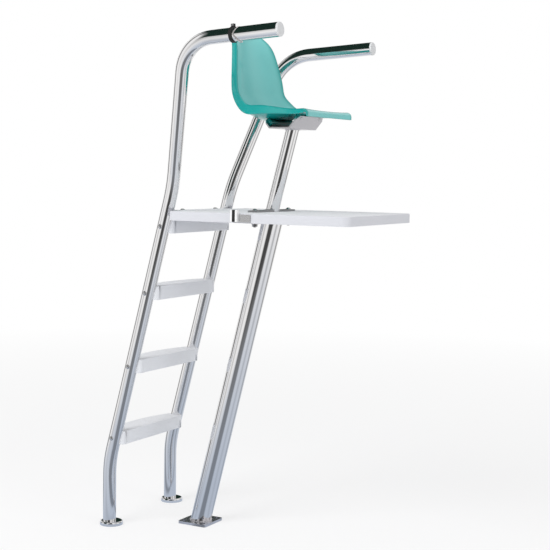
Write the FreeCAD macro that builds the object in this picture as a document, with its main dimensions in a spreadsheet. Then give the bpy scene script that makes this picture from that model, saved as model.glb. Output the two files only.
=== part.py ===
import FreeCAD, Part

import math
import os

import Sketcher
from FreeCAD import Placement, Rotation, Vector

# Lifeguard chair: bent ladder rails, leaning pedestal, platform of two boards and a shell seat
# Millimetres, +Z up, the chair faces -Y, origin under the middle of the pedestal's base plate

SIZES = (
    # Rails: one tube each, from the deck up the ladder, out past the platform and forward as an arm
    ("rail_diameter", 48.26),
    ("rail_wall", 3.05),
    ("rail_spacing", 406.4),
    ("rail_setback", 273.7),
    ("rail_knee_height", 240.6),
    ("rail_ladder_lean", 14.84),
    ("rail_shoulder_height", 1264.7),
    ("rail_upper_lean", 15.7),
    ("rail_spread_angle", 16.43),
    ("rail_arm_height", 1761.4),
    ("rail_arm_length", 369.0),
    ("rail_arm_rise_angle", 3.5),
    ("rail_arm_splay_angle", 1.15),
    ("rail_knee_radius", 400.0),
    ("rail_shoulder_radius", 400.0),
    ("rail_arm_radius", 152.4),
    # End caps pressed into the arms
    ("cap_head_length", 7.0),
    ("cap_edge_radius", 3.5),
    ("cap_plug_length", 22.0),
    ("cap_fit_gap", 0.15),
    # Low round flanges that cover the holes in the deck
    ("flange_diameter", 85.0),
    ("flange_height", 15.0),
    ("flange_edge_radius", 6.5),
    ("flange_offset", 9.0),
    ("curved_gap", 0.3),
    # Ladder treads
    ("tread_height", 50.0),
    ("tread_front", 36.0),
    ("tread_rear", 58.0),
    ("tread_edge_radius", 14.0),
    ("tread_cut_spare", 1.0),
    ("tread_wall", 5.0),
    ("tread_end_block", 44.0),
    ("tread_first_height", 355.0),
    ("tread_pitch", 274.0),
    # Pedestal
    ("pedestal_diameter", 76.2),
    ("pedestal_wall", 3.05),
    ("pedestal_lean", 14.35),
    ("base_width", 127.0),
    ("base_depth", 120.0),
    ("base_thickness", 9.5),
    ("base_corner_radius", 8.0),
    ("base_hole_diameter", 14.3),
    ("base_hole_inset", 17.0),
    ("cross_length", 300.0),
    ("cross_depth", 76.2),
    ("cross_thickness", 6.35),
    ("cross_corner_radius", 10.0),
    # Platform boards
    ("platform_top", 1180.0),
    ("board_thickness", 33.0),
    ("board_width", 534.0),
    ("board_front_reach", 723.0),
    ("board_rear_edge", 21.0),
    ("board_joint", 298.0),
    ("board_joint_gap", 2.0),
    ("board_corner_radius", 30.0),
    ("board_edge_radius", 4.0),
    ("tongue_reach", 34.0),
    ("tongue_side_gap", 4.0),
    # Seat post and its two welded ears on top of the boards
    ("post_diameter", 48.26),
    ("post_wall", 3.05),
    ("post_lean", 15.03),
    ("post_setback", 26.4),
    ("ear_reach", 140.0),
    ("ear_width", 38.0),
    ("ear_thickness", 6.35),
    # Seat bracket, a bent trough
    ("bracket_length", 200.0),
    ("bracket_floor_width", 76.0),
    ("bracket_thickness", 5.0),
    ("bracket_front_length", 54.0),
    ("bracket_rear_length", 34.0),
    ("bracket_flange_angle", 40.0),
    ("bracket_underside", 1474.0),
    ("bracket_chamfer", 16.0),
    ("bracket_hole_inset", 9.0),
    ("bracket_hole_reach", 70.0),
    # Shell seat
    ("seat_wall", 6.0),
    ("seat_front_reach", 506.0),
    ("seat_front_height", 1539.0),
    ("seat_pan_length", 160.0),
    ("seat_pan_drop_angle", 9.0),
    ("seat_bowl_radius", 115.0),
    ("seat_back_length", 222.0),
    ("seat_back_lean", 12.0),
    ("seat_top_turn", 60.0),
    ("seat_lip_radius", 13.0),
    ("seat_lip_drop", 6.0),
    ("seat_rim_radius", 8.0),
    ("seat_rim_turn", 75.0),
    ("seat_front_width", 352.0),
    ("seat_bowl_width", 384.0),
    ("seat_waist_width", 310.0),
    ("seat_shoulder_width", 284.0),
    ("seat_top_width", 170.0),
    ("seat_front_dish", 3.0),
    ("seat_pan_dish", 24.0),
    ("seat_bowl_dish", 45.0),
    ("seat_back_dish", 31.0),
    ("seat_top_dish", 14.0),
    ("seat_rib_length", 172.0),
    ("seat_rib_height", 24.0),
    ("seat_rib_thickness", 12.0),
    # Fittings at the near end of the boards' joint
    ("strip_width", 12.0),
    ("strip_depth", 16.0),
    ("strip_stand", 12.0),
    ("strip_drop", 29.0),
    ("trim_width", 7.0),
    ("joint_plate_length", 46.0),
    ("joint_plate_height", 26.0),
    ("joint_plate_thickness", 3.0),
    # Bolts and screws
    ("tread_bolt_diameter", 8.0),
    ("tread_bolt_head", 17.0),
    ("tread_bolt_dome", 5.0),
    ("tread_bolt_length", 44.0),
    ("tread_bolt_tip_gap", 2.0),
    ("platform_bolt_diameter", 10.0),
    ("platform_bolt_reach", 123.0),
    ("platform_bolt_head", 22.0),
    ("platform_bolt_dome", 6.5),
    ("bolt_end_stand", 3.0),
    ("nut_across_flats", 17.0),
    ("nut_height", 8.5),
    ("washer_diameter", 27.0),
    ("washer_thickness", 2.5),
    ("board_screw_diameter", 8.0),
    ("board_screw_reach", 113.0),
    ("board_screw_head", 18.0),
    ("board_screw_dome", 4.5),
    ("board_screw_length", 46.0),
    ("seat_screw_diameter", 6.0),
    ("seat_screw_head", 12.0),
    ("seat_screw_dome", 3.3),
    ("seat_screw_length", 13.0),
    ("hole_gap", 0.6),
    # Small clip on the right arm
    ("clip_place", 190.0),
    ("clip_width", 12.0),
    ("clip_thickness", 2.5),
    ("clip_lug_height", 9.0),
    ("clip_lug_thickness", 3.0),
    ("clip_slit", 4.0),
    ("clip_screw_diameter", 4.0),
    ("clip_screw_head", 8.0),
    ("clip_screw_dome", 2.5),
)

# Slack allowed when the seat's lofted faces are cut or joined, and when numbers are compared
BOOLEAN_TOLERANCE = 0.001
SAME_NUMBER = 1e-6
SAME_PLACE = 1e-4

# Radius of a sketch's outlines before its constraints set them
SKETCH_START = 50.0
CIRCLE_START = 5.0

# Treads from the deck up; the last one carries the rear board
TREADS = (1, 2, 3, 4)
LAST_TREAD = 4

# How sharply the seat's dish rises towards its rim, where its points lie across half the seat,
# and how many points follow the rolled rim
DISH_POWER = 2.4
DISH_SHARES = (0.0, 0.3, 0.52, 0.7, 0.85, 1.0)
RIM_STEPS = 4

# Sections of the seat along its rolled lip, pan, bowl, back and top
LIP_STEPS = 3
PAN_STEPS = 4
BOWL_STEPS = 5
BACK_STEPS = 7
TOP_STEPS = 2

# Shares of the bowl where its dish is full and where it starts to narrow to the waist
BOWL_DISH_FULL = 0.5
BOWL_WAIST_START = 0.4

# Where along the back its upper corners begin, and how far round each corner goes
CORNER_START = 0.55
CORNER_TURN = 0.9

QUARTER_TURN = 90.0
HEXAGON_TURN = 60.0

NODES = []

doc = FreeCAD.newDocument("LifeguardChair")
sheet = doc.addObject("Spreadsheet::Sheet", "Sizes")
for row, (alias, number) in enumerate(SIZES, start=1):
    sheet.set("A{}".format(row), alias)
    sheet.set("B{}".format(row), str(number))
    sheet.setAlias("B{}".format(row), alias)
doc.recompute()


def size(alias):
    return float(sheet.get(alias))


def tan(angle):
    return math.tan(math.radians(angle))


def cos(angle):
    return math.cos(math.radians(angle))


def sin(angle):
    return math.sin(math.radians(angle))


# Shared places, worked out from the sheet

PLATFORM_UNDERSIDE = size("platform_top") - size("board_thickness")
CROSS_UNDERSIDE = PLATFORM_UNDERSIDE - size("cross_thickness")
BRACKET_FLOOR = size("bracket_underside") + size("bracket_thickness")
HALF_SPACING = size("rail_spacing") / 2
RAIL_RADIUS = size("rail_diameter") / 2
BOLT_HOLE = size("platform_bolt_diameter") + size("hole_gap")


def ladder_y(height):
    """Y of a rail's axis on the ladder stretch."""
    return size("rail_setback") - (height - size("rail_knee_height")) * tan(size("rail_ladder_lean"))


def post_y(height):
    """Y of the seat post's axis."""
    return size("post_setback") - height * tan(size("post_lean"))


def pedestal_y(height):
    """Y of the pedestal's axis."""
    return -height * tan(size("pedestal_lean"))


POST_AT_PLATFORM = post_y(size("platform_top"))
POST_AT_BRACKET = post_y(size("bracket_underside"))


# Document helpers

def new(kind, name, **links):
    made = doc.addObject(kind, name)
    for key, linked in links.items():
        setattr(made, key, linked)
    return made


def bind(made, **expressions):
    """Ties properties of an object to cells of the sheet."""
    for key, expression in expressions.items():
        made.setExpression(key.replace("__", "."), expression)
    return made


def node(made, label):
    """Marks a finished sub-part: its label is its file's name."""
    made.Label = label
    NODES.append(made)
    return made


def cylinder(name, radius, height, base, direction):
    """A cylinder whose radius and height are expressions, standing at base along direction."""
    made = bind(new("Part::Cylinder", name), Radius=radius, Height=height)
    made.Placement = Placement(base, Rotation(Vector(0, 0, 1), direction))
    return made


def box(name, length, width, height, corner):
    made = bind(new("Part::Box", name), Length=length, Width=width, Height=height)
    made.Placement = Placement(corner, Rotation())
    return made


def cut(name, base, tool):
    return new("Part::Cut", name, Base=base, Tool=tool)


def fuse(name, shapes):
    return new("Part::MultiFuse", name, Shapes=shapes)


def origin_plane(body, role):
    return [plane for plane in body.Origin.OriginFeatures if plane.Role == role][0]


def sketch_on(body, name, role):
    sketch = body.newObject("Sketcher::SketchObject", name)
    sketch.AttachmentSupport = (origin_plane(body, role), [""])
    sketch.MapMode = "FlatFace"
    return sketch


def add_polygon(sketch, corners):
    """A closed outline; each corner is a pair of expressions."""
    first = sketch.GeometryCount
    count = len(corners)
    guess = [Vector(math.cos(2 * math.pi * k / count), math.sin(2 * math.pi * k / count)) * SKETCH_START
             for k in range(count)]
    for k in range(count):
        sketch.addGeometry(Part.LineSegment(guess[k], guess[(k + 1) % count]), False)
    for k in range(count):
        sketch.addConstraint(Sketcher.Constraint("Coincident", first + k, 2, first + (k + 1) % count, 1))
    for k, (across, up) in enumerate(corners):
        for kind, expression in (("DistanceX", across), ("DistanceY", up)):
            index = sketch.addConstraint(Sketcher.Constraint(kind, -1, 1, first + k, 1, 1.0))
            sketch.setExpression("Constraints[{}]".format(index), expression)


def add_circle(sketch, diameter, across="0", up="0"):
    """A circle; its diameter and centre are expressions."""
    index = sketch.addGeometry(Part.Circle(Vector(1, 1, 0), Vector(0, 0, 1), CIRCLE_START), False)
    bound = sketch.addConstraint(Sketcher.Constraint("Diameter", index, 2 * CIRCLE_START))
    sketch.setExpression("Constraints[{}]".format(bound), diameter)
    for kind, expression in (("DistanceX", across), ("DistanceY", up)):
        bound = sketch.addConstraint(Sketcher.Constraint(kind, -1, 1, index, 3, 1.0))
        sketch.setExpression("Constraints[{}]".format(bound), expression)


def rectangle(left, right, low, high):
    return ((left, low), (right, low), (right, high), (left, high))


def pad(body, sketch, name, length, midplane=False, reverse=False):
    made = body.newObject("PartDesign::Pad", name)
    made.Profile = sketch
    made.Midplane = midplane
    made.Reversed = reverse
    made.setExpression("Length", length)
    doc.recompute()
    return made


def pocket(body, sketch, name, length=None, midplane=False, reverse=False):
    """A pocket that must take material away; with no length it goes through all."""
    before = body.Shape.Volume
    made = body.newObject("PartDesign::Pocket", name)
    made.Profile = sketch
    made.Midplane = midplane
    made.Reversed = reverse
    if length is None:
        made.Type = "ThroughAll"
    else:
        made.setExpression("Length", length)
    doc.recompute()
    if body.Shape.Volume >= before - SAME_NUMBER:
        raise RuntimeError("{} cuts nothing".format(name))
    return made


def round_edges(body, name, radius, wanted):
    """A fillet on the edges of the body's tip that the test picks."""
    tip = body.Tip
    names = ["Edge{}".format(k + 1) for k, edge in enumerate(tip.Shape.Edges) if wanted(edge)]
    made = body.newObject("PartDesign::Fillet", name)
    made.Base = (tip, names)
    made.setExpression("Radius", radius)
    doc.recompute()
    return made


def runs_along(edge, axis):
    """True for a straight edge along X, Y or Z (0, 1 or 2)."""
    if edge.Curve.TypeId != "Part::GeomLine":
        return False
    return abs(abs(edge.tangentAt(edge.FirstParameter)[axis]) - 1) < SAME_NUMBER


def lies_at(edge, axis, value):
    bounds = edge.BoundBox
    low = (bounds.XMin, bounds.YMin, bounds.ZMin)[axis]
    high = (bounds.XMax, bounds.YMax, bounds.ZMax)[axis]
    return abs(low - value) < SAME_PLACE and abs(high - value) < SAME_PLACE


def new_body(name):
    return doc.addObject("PartDesign::Body", name)


# Rails

def rail_points():
    """Corners of the left rail's axis, from the deck to the arm's end."""
    knee = Vector(HALF_SPACING, size("rail_setback"), size("rail_knee_height"))
    foot = Vector(knee.x, knee.y, 0)
    top = size("rail_shoulder_height")
    shoulder = Vector(HALF_SPACING, ladder_y(top), top)
    rise = size("rail_arm_height") - top
    elbow = shoulder + Vector(tan(size("rail_spread_angle")), -tan(size("rail_upper_lean")), 1) * rise
    forward = Vector(tan(size("rail_arm_splay_angle")), -1, tan(size("rail_arm_rise_angle")))
    end = elbow + forward * size("rail_arm_length")
    return [foot, knee, shoulder, elbow, end]


def rounded_path(points, radii):
    """A wire of straight runs joined by tangent arcs."""
    edges = []
    start = points[0]
    for before, corner, after, radius in zip(points, points[1:], points[2:], radii):
        back = (before - corner).normalize()
        ahead = (after - corner).normalize()
        half = back.getAngle(ahead) / 2
        reach = radius / math.tan(half)
        middle = corner + (back + ahead).normalize() * (radius / math.sin(half) - radius)
        enter = corner + back * reach
        leave = corner + ahead * reach
        edges.append(Part.LineSegment(start, enter).toShape())
        edges.append(Part.Arc(enter, middle, leave).toShape())
        start = leave
    edges.append(Part.LineSegment(start, points[-1]).toShape())
    return Part.Wire(edges)


def sweep_along(name, path, radius):
    """A round bar along the rail's axis."""
    ring = bind(new("Part::Circle", name + "_section"), Radius=radius)
    ring.Placement = Placement(rail_points()[0], Rotation())
    made = new("Part::Sweep", name, Sections=[ring])
    made.Spine = (path, ["Edge{}".format(k + 1) for k in range(len(path.Shape.Edges))])
    made.Solid = True
    made.Frenet = False
    return made


def tread_middle(index):
    """Height of the middle of a tread; the last carries the rear board."""
    if index == LAST_TREAD:
        top = PLATFORM_UNDERSIDE
    else:
        top = size("tread_first_height") + (index - 1) * size("tread_pitch")
    return top - size("tread_height") / 2


def make_rails():
    path = new("Part::Feature", "rail_axis")
    radii = (size("rail_knee_radius"), size("rail_shoulder_radius"), size("rail_arm_radius"))
    path.Shape = rounded_path(rail_points(), radii)
    outer = sweep_along("rail_outside", path, "Sizes.rail_diameter / 2")
    bore = sweep_along("rail_bore", path, "Sizes.rail_diameter / 2 - Sizes.rail_wall")
    holes = []
    for index in TREADS:
        height = tread_middle(index)
        base = Vector(HALF_SPACING - size("rail_diameter"), ladder_y(height), height)
        holes.append(cylinder("rail_hole_{}".format(index),
                              "(Sizes.tread_bolt_diameter + Sizes.hole_gap) / 2",
                              "2 * Sizes.rail_diameter", base, Vector(1, 0, 0)))
    tube = cut("rail_tube", outer, bore)
    left = node(cut("rail_with_holes", tube, fuse("rail_holes", holes)), "rail_left")
    right = new("Part::Mirroring", "rail_mirrored", Source=left)
    right.Base = Vector(0, 0, 0)
    right.Normal = Vector(1, 0, 0)
    node(right, "rail_right")


def make_cap(side, label):
    """A flat cap with a rounded edge, its plug pressed into the arm."""
    points = rail_points()
    along = (points[4] - points[3]).normalize()
    along.x = along.x * side
    end = Vector(points[4].x * side, points[4].y, points[4].z)
    head = bind(new("Part::Cylinder", label + "_head"), Radius="Sizes.rail_diameter / 2",
                Height="Sizes.cap_head_length")
    doc.recompute()
    rim = new("Part::Fillet", label + "_rounded", Base=head)
    top = [k + 1 for k, edge in enumerate(head.Shape.Edges)
           if lies_at(edge, 2, size("cap_head_length"))]
    rim.Edges = [(k, size("cap_edge_radius"), size("cap_edge_radius")) for k in top]
    plug = bind(new("Part::Cylinder", label + "_plug"),
                Radius="Sizes.rail_diameter / 2 - Sizes.rail_wall - Sizes.cap_fit_gap",
                Height="Sizes.cap_plug_length")
    plug.Placement = Placement(Vector(0, 0, -size("cap_plug_length")), Rotation())
    made = node(fuse(label + "_solid", [rim, plug]), label)
    made.Placement = Placement(end, Rotation(Vector(0, 0, 1), along))


def make_flange(side, label):
    """A low puck whose hole sits behind its middle, with the rail through it."""
    body = new_body(label + "_body")
    outline = sketch_on(body, label + "_outline", "XY_Plane")
    add_circle(outline, "Sizes.flange_diameter", "0", "-Sizes.flange_offset")
    pad(body, outline, label + "_puck", "Sizes.flange_height")
    round_edges(body, label + "_edge", "Sizes.flange_edge_radius",
                lambda edge: lies_at(edge, 2, size("flange_height")))
    hole = sketch_on(body, label + "_hole", "XY_Plane")
    add_circle(hole, "Sizes.rail_diameter + 2 * Sizes.curved_gap")
    pocket(body, hole, label + "_bore", reverse=True)
    node(body, label)
    body.Placement = Placement(Vector(side * HALF_SPACING, size("rail_setback"), 0), Rotation())


# Treads

def make_tread(index):
    """A moulded tread, open underneath, whose ends are hollowed to the rails."""
    label = "tread_{}".format(index)
    body = new_body(label + "_body")
    outline = sketch_on(body, label + "_profile", "YZ_Plane")
    add_polygon(outline, rectangle("-Sizes.tread_front", "Sizes.tread_rear",
                                   "-Sizes.tread_height / 2", "Sizes.tread_height / 2"))
    pad(body, outline, label + "_bar", "Sizes.rail_spacing", midplane=True)
    half_height = size("tread_height") / 2
    round_edges(body, label + "_nose", "Sizes.tread_edge_radius",
                lambda edge: runs_along(edge, 0) and lies_at(edge, 2, half_height))
    hollow = sketch_on(body, label + "_hollow_outline", "YZ_Plane")
    add_polygon(hollow, rectangle("-Sizes.tread_front + Sizes.tread_wall",
                                  "Sizes.tread_rear - Sizes.tread_wall",
                                  "-Sizes.tread_height / 2 - Sizes.tread_cut_spare",
                                  "Sizes.tread_height / 2 - Sizes.tread_edge_radius"))
    pocket(body, hollow, label + "_hollow", "Sizes.rail_spacing - 2 * Sizes.tread_end_block", midplane=True)
    height = tread_middle(index)
    body.Placement = Placement(Vector(0, ladder_y(height), height), Rotation())
    along = Vector(0, -sin(size("rail_ladder_lean")), cos(size("rail_ladder_lean")))
    tools = []
    for side in (-1, 1):
        middle = Vector(side * HALF_SPACING, ladder_y(height), height)
        reach = size("tread_height")
        tools.append(cylinder(label + "_saddle", "Sizes.rail_diameter / 2 + Sizes.curved_gap",
                              "2 * Sizes.tread_height", middle - along * reach, along))
        start = middle - Vector(side * size("tread_bolt_length"), 0, 0)
        tools.append(cylinder(label + "_bolt_hole", "(Sizes.tread_bolt_diameter + Sizes.curved_gap) / 2",
                              "Sizes.tread_bolt_length", start, Vector(side, 0, 0)))
        if index == LAST_TREAD:
            low = size("platform_top") - size("board_screw_length")
            point = Vector(side * size("board_screw_reach"), ladder_y(height), low)
            tools.append(cylinder(label + "_screw_hole",
                                  "(Sizes.board_screw_diameter + Sizes.curved_gap) / 2",
                                  "Sizes.board_screw_length", point, Vector(0, 0, 1)))
    node(cut(label + "_cut", body, fuse(label + "_tools", tools)), label)


# Pedestal and seat post

def leaning_tube(label, diameter, wall, lean, axis_y, low, high):
    """A tube that leans forward, cut level at both ends."""
    along = Vector(0, -sin(size(lean)), cos(size(lean)))
    spare = size(diameter)
    base = Vector(0, axis_y(low), low) - along * spare
    length = "{} / cos({} * 1 deg) + 2 * Sizes.{}".format(high - low, size(lean), diameter)
    outer = cylinder(label + "_outside", "Sizes.{} / 2".format(diameter), length, base, along)
    bore = cylinder(label + "_bore", "Sizes.{} / 2 - Sizes.{}".format(diameter, wall), length, base, along)
    tube = cut(label + "_tube", outer, bore)
    reach = "4 * Sizes.{}".format(diameter)
    corner = Vector(-2 * spare, axis_y((low + high) / 2) - (high - low), low)
    slab = bind(new("Part::Box", label + "_slab"), Length=reach)
    slab.Width = 2 * (high - low)
    slab.Height = high - low
    slab.Placement = Placement(corner, Rotation())
    node(new("Part::Common", label + "_trimmed", Base=tube, Tool=slab), label)


def make_base_plate():
    body = new_body("base_plate_body")
    outline = sketch_on(body, "base_plate_outline", "XY_Plane")
    add_polygon(outline, rectangle("-Sizes.base_width / 2", "Sizes.base_width / 2",
                                   "-Sizes.base_depth / 2", "Sizes.base_depth / 2"))
    pad(body, outline, "base_plate_pad", "Sizes.base_thickness")
    round_edges(body, "base_plate_corners", "Sizes.base_corner_radius", lambda edge: runs_along(edge, 2))
    holes = sketch_on(body, "base_plate_holes", "XY_Plane")
    for across in ("-", ""):
        for up in ("-", ""):
            add_circle(holes, "Sizes.base_hole_diameter",
                       across + "(Sizes.base_width / 2 - Sizes.base_hole_inset)",
                       up + "(Sizes.base_depth / 2 - Sizes.base_hole_inset)")
    pocket(body, holes, "base_plate_drilled", reverse=True)
    node(body, "pedestal_base_plate")


def make_cross_plate():
    """The plate on top of the pedestal that carries both boards."""
    body = new_body("cross_plate_body")
    outline = sketch_on(body, "cross_plate_outline", "XY_Plane")
    add_polygon(outline, rectangle("-Sizes.cross_length / 2", "Sizes.cross_length / 2",
                                   "-Sizes.cross_depth / 2", "Sizes.cross_depth / 2"))
    pad(body, outline, "cross_plate_pad", "Sizes.cross_thickness")
    round_edges(body, "cross_plate_corners", "Sizes.cross_corner_radius", lambda edge: runs_along(edge, 2))
    holes = sketch_on(body, "cross_plate_holes", "XY_Plane")
    for side in ("-", ""):
        add_circle(holes, "Sizes.platform_bolt_diameter + Sizes.hole_gap", side + "Sizes.platform_bolt_reach")
    pocket(body, holes, "cross_plate_drilled", reverse=True)
    node(body, "pedestal_top_plate")
    body.Placement = Placement(Vector(0, POST_AT_PLATFORM, CROSS_UNDERSIDE), Rotation())


def make_ear(side, label):
    """A short flat bar welded to the post, bolted down on the boards' joint."""
    body = new_body(label + "_body")
    outline = sketch_on(body, label + "_outline", "XY_Plane")
    add_polygon(outline, rectangle("0", "Sizes.ear_reach", "-Sizes.ear_width / 2", "Sizes.ear_width / 2"))
    pad(body, outline, label + "_pad", "Sizes.ear_thickness")
    hole = sketch_on(body, label + "_hole", "XY_Plane")
    add_circle(hole, "Sizes.platform_bolt_diameter + Sizes.hole_gap", "Sizes.platform_bolt_reach")
    pocket(body, hole, label + "_drilled", reverse=True)
    turn = Rotation(Vector(0, 0, 1), 0 if side > 0 else 180)
    body.Placement = Placement(Vector(0, POST_AT_PLATFORM, size("platform_top")), turn)
    along = Vector(0, -sin(size("post_lean")), cos(size("post_lean")))
    base = Vector(0, POST_AT_PLATFORM, size("platform_top")) - along * size("post_diameter")
    post = cylinder(label + "_post", "Sizes.post_diameter / 2", "3 * Sizes.post_diameter", base, along)
    node(cut(label + "_cut", body, post), label)


# Seat bracket

def flange_frame(side):
    """Foot of a flange's inner face, its direction upwards, its outward normal and its length."""
    angle = size("bracket_flange_angle")
    foot = Vector(0, POST_AT_BRACKET + side * size("bracket_floor_width") / 2, BRACKET_FLOOR)
    upwards = Vector(0, side * sin(angle), cos(angle))
    outward = Vector(0, side * cos(angle), -sin(angle))
    length = size("bracket_front_length") if side < 0 else size("bracket_rear_length")
    return foot, upwards, outward, length


def seat_screw_places():
    """Points on the flanges' outer faces with the outward normal of each."""
    places = []
    for side in (-1, 1):
        foot, upwards, outward, length = flange_frame(side)
        rise = length - size("bracket_hole_inset")
        for across in (-1, 1):
            middle = foot + upwards * rise + outward * size("bracket_thickness")
            middle.x = across * size("bracket_hole_reach")
            places.append((middle, outward))
    return places


def flange_outline(sign, reach):
    """Corners of one leaning flange of the bracket's profile, from its knee round to its foot."""
    half = "Sizes.bracket_floor_width / 2"
    lean = "Sizes.bracket_flange_angle * 1 deg"
    wall = "Sizes.bracket_thickness"
    inner_y = "{} + {} * sin({})".format(half, reach, lean)
    inner_z = "{} + {} * cos({})".format(wall, reach, lean)
    outer_y = "{} + {} * cos({})".format(inner_y, wall, lean)
    outer_z = "{} - {} * sin({})".format(inner_z, wall, lean)
    knee_y = "{} + {} * (1 - sin({})) / cos({})".format(half, wall, lean, lean)
    corners = [(knee_y, "0"), (outer_y, outer_z), (inner_y, inner_z), (half, wall)]
    return [("{}({})".format(sign, across), up) for across, up in corners]


def make_bracket():
    """A plate bent up along both long edges, with chamfered upper corners."""
    body = new_body("bracket_body")
    profile = sketch_on(body, "bracket_profile", "YZ_Plane")
    rear = flange_outline("", "Sizes.bracket_rear_length")
    front = flange_outline("-", "Sizes.bracket_front_length")
    add_polygon(profile, rear + list(reversed(front)))
    pad(body, profile, "bracket_plate", "Sizes.bracket_length", midplane=True)
    tip = body.Tip
    half_length = size("bracket_length") / 2
    names = []
    for k, edge in enumerate(tip.Shape.Edges):
        at_end = lies_at(edge, 0, half_length) or lies_at(edge, 0, -half_length)
        if at_end and edge.BoundBox.ZMin > size("bracket_rear_length") / 2:
            names.append("Edge{}".format(k + 1))
    chamfer = body.newObject("PartDesign::Chamfer", "bracket_corners")
    chamfer.Base = (tip, names)
    chamfer.setExpression("Size", "Sizes.bracket_chamfer")
    doc.recompute()
    body.Placement = Placement(Vector(0, POST_AT_BRACKET, size("bracket_underside")), Rotation())
    holes = []
    for k, (middle, outward) in enumerate(seat_screw_places(), start=1):
        start = middle + outward * size("bracket_thickness")
        holes.append(cylinder("bracket_hole_{}".format(k), "(Sizes.seat_screw_diameter + Sizes.hole_gap) / 2",
                              "3 * Sizes.bracket_thickness", start, outward * -1))
    node(cut("bracket_drilled", body, fuse("bracket_holes", holes)), "seat_bracket")


# Shell seat: planar sections square to a path up the lip, over the pan, round the bowl and up the back

def seat_path():
    """Stations of the seat: point on the middle line, upward normal and share of the way."""
    drop = size("seat_pan_drop_angle")
    stations = []
    heading = [QUARTER_TURN]
    point = [Vector(0, -size("seat_front_reach"), size("seat_front_height") - size("seat_lip_radius")
                    - size("seat_lip_drop"))]

    def note(name):
        normal = Vector(0, -sin(heading[0]), cos(heading[0]))
        stations.append((name, Vector(point[0]), normal))

    def straight(length, steps, name):
        for step in range(steps):
            point[0] = point[0] + Vector(0, cos(heading[0]), sin(heading[0])) * (length / steps)
            note(name)

    def bend(radius, turn, steps, name):
        for step in range(steps):
            half = turn / steps / 2
            chord = 2 * radius * sin(abs(half))
            heading[0] += half
            point[0] = point[0] + Vector(0, cos(heading[0]), sin(heading[0])) * chord
            heading[0] += half
            note(name)

    note("lip")
    straight(size("seat_lip_drop"), 1, "lip")
    bend(size("seat_lip_radius"), -(QUARTER_TURN + drop), LIP_STEPS, "lip")
    straight(size("seat_pan_length"), PAN_STEPS, "pan")
    bend(size("seat_bowl_radius"), QUARTER_TURN - size("seat_back_lean") + drop, BOWL_STEPS, "bowl")
    straight(size("seat_back_length"), BACK_STEPS, "back")
    bend(size("seat_lip_radius"), size("seat_top_turn"), TOP_STEPS, "top")
    return stations


def blend(share, low, high):
    """Smooth change from low to high as share goes from 0 to 1."""
    share = min(max(share, 0.0), 1.0)
    return low + (high - low) * share * share * (3 - 2 * share)


def seat_shape_at(name, share):
    """Width and dish of the seat at a share of the stretch called name."""
    if name == "lip":
        return size("seat_front_width"), size("seat_front_dish")
    if name == "pan":
        width = blend(share, size("seat_front_width"), size("seat_bowl_width"))
        return width, blend(share, size("seat_front_dish"), size("seat_pan_dish"))
    if name == "bowl":
        dish = blend(share / BOWL_DISH_FULL, size("seat_pan_dish"), size("seat_bowl_dish"))
        return blend(share - BOWL_WAIST_START, size("seat_bowl_width"), size("seat_waist_width")), dish
    if name == "back":
        width = blend(share, size("seat_waist_width"), size("seat_shoulder_width"))
        end = max(share - CORNER_START, 0.0) / (1 - CORNER_START)
        narrowing = size("seat_shoulder_width") - size("seat_top_width")
        width -= narrowing * (1 - math.sqrt(1 - CORNER_TURN * end ** 3))
        return width, blend(share, size("seat_bowl_dish"), size("seat_back_dish"))
    return size("seat_top_width"), size("seat_top_dish")


def seat_section(width, dish, depth):
    """Points across the seat, in pairs of across and up, pushed down by depth."""
    rim = size("seat_rim_radius")
    crest = width / 2 - rim
    flat = []
    for share in DISH_SHARES:
        across = crest * share
        slope = math.atan(DISH_POWER * dish / crest * share ** (DISH_POWER - 1))
        flat.append((across, dish * share ** DISH_POWER, slope))
    across, up, slope = flat[-1]
    turn = (slope + math.radians(size("seat_rim_turn"))) / RIM_STEPS
    for step in range(RIM_STEPS):
        slope -= turn / 2
        across += 2 * rim * math.sin(turn / 2) * math.cos(slope)
        up += 2 * rim * math.sin(turn / 2) * math.sin(slope)
        slope -= turn / 2
        flat.append((across, up, slope))
    half = [(across + depth * math.sin(slope), up - depth * math.cos(slope)) for across, up, slope in flat]
    return [(-across, up) for across, up in reversed(half[1:])] + half


def seat_wire(point, normal, upper, lower):
    """One closed section: a curve above, a curve or line below and two short sides."""
    def place(pairs):
        return [point + Vector(across, 0, 0) + normal * up for across, up in pairs]
    top = Part.BSplineCurve()
    top.interpolate(place(upper))
    if len(lower) > 2:
        bottom = Part.BSplineCurve()
        bottom.interpolate(place(lower))
    else:
        bottom = Part.LineSegment(*place(lower))
    ends = (top.StartPoint, top.EndPoint, bottom.StartPoint, bottom.EndPoint)
    right = Part.LineSegment(ends[1], ends[3])
    left = Part.LineSegment(ends[2], ends[0])
    return Part.Wire([top.toShape(), right.toShape(), bottom.toShape(), left.toShape()])


def seat_sections(upper_depth, lower_depth):
    """Sections between two depths under the seat's upper face."""
    stations = seat_path()
    counts = {}
    for name, point, normal in stations:
        counts[name] = counts.get(name, 0) + 1
    passed = {}
    wires = []
    for name, point, normal in stations:
        passed[name] = passed.get(name, 0) + 1
        width, dish = seat_shape_at(name, passed[name] / counts[name])
        upper = seat_section(width, dish, upper_depth)
        lower = seat_section(width, dish, lower_depth)
        wires.append(seat_wire(point, normal, upper, lower))
    return wires


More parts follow.
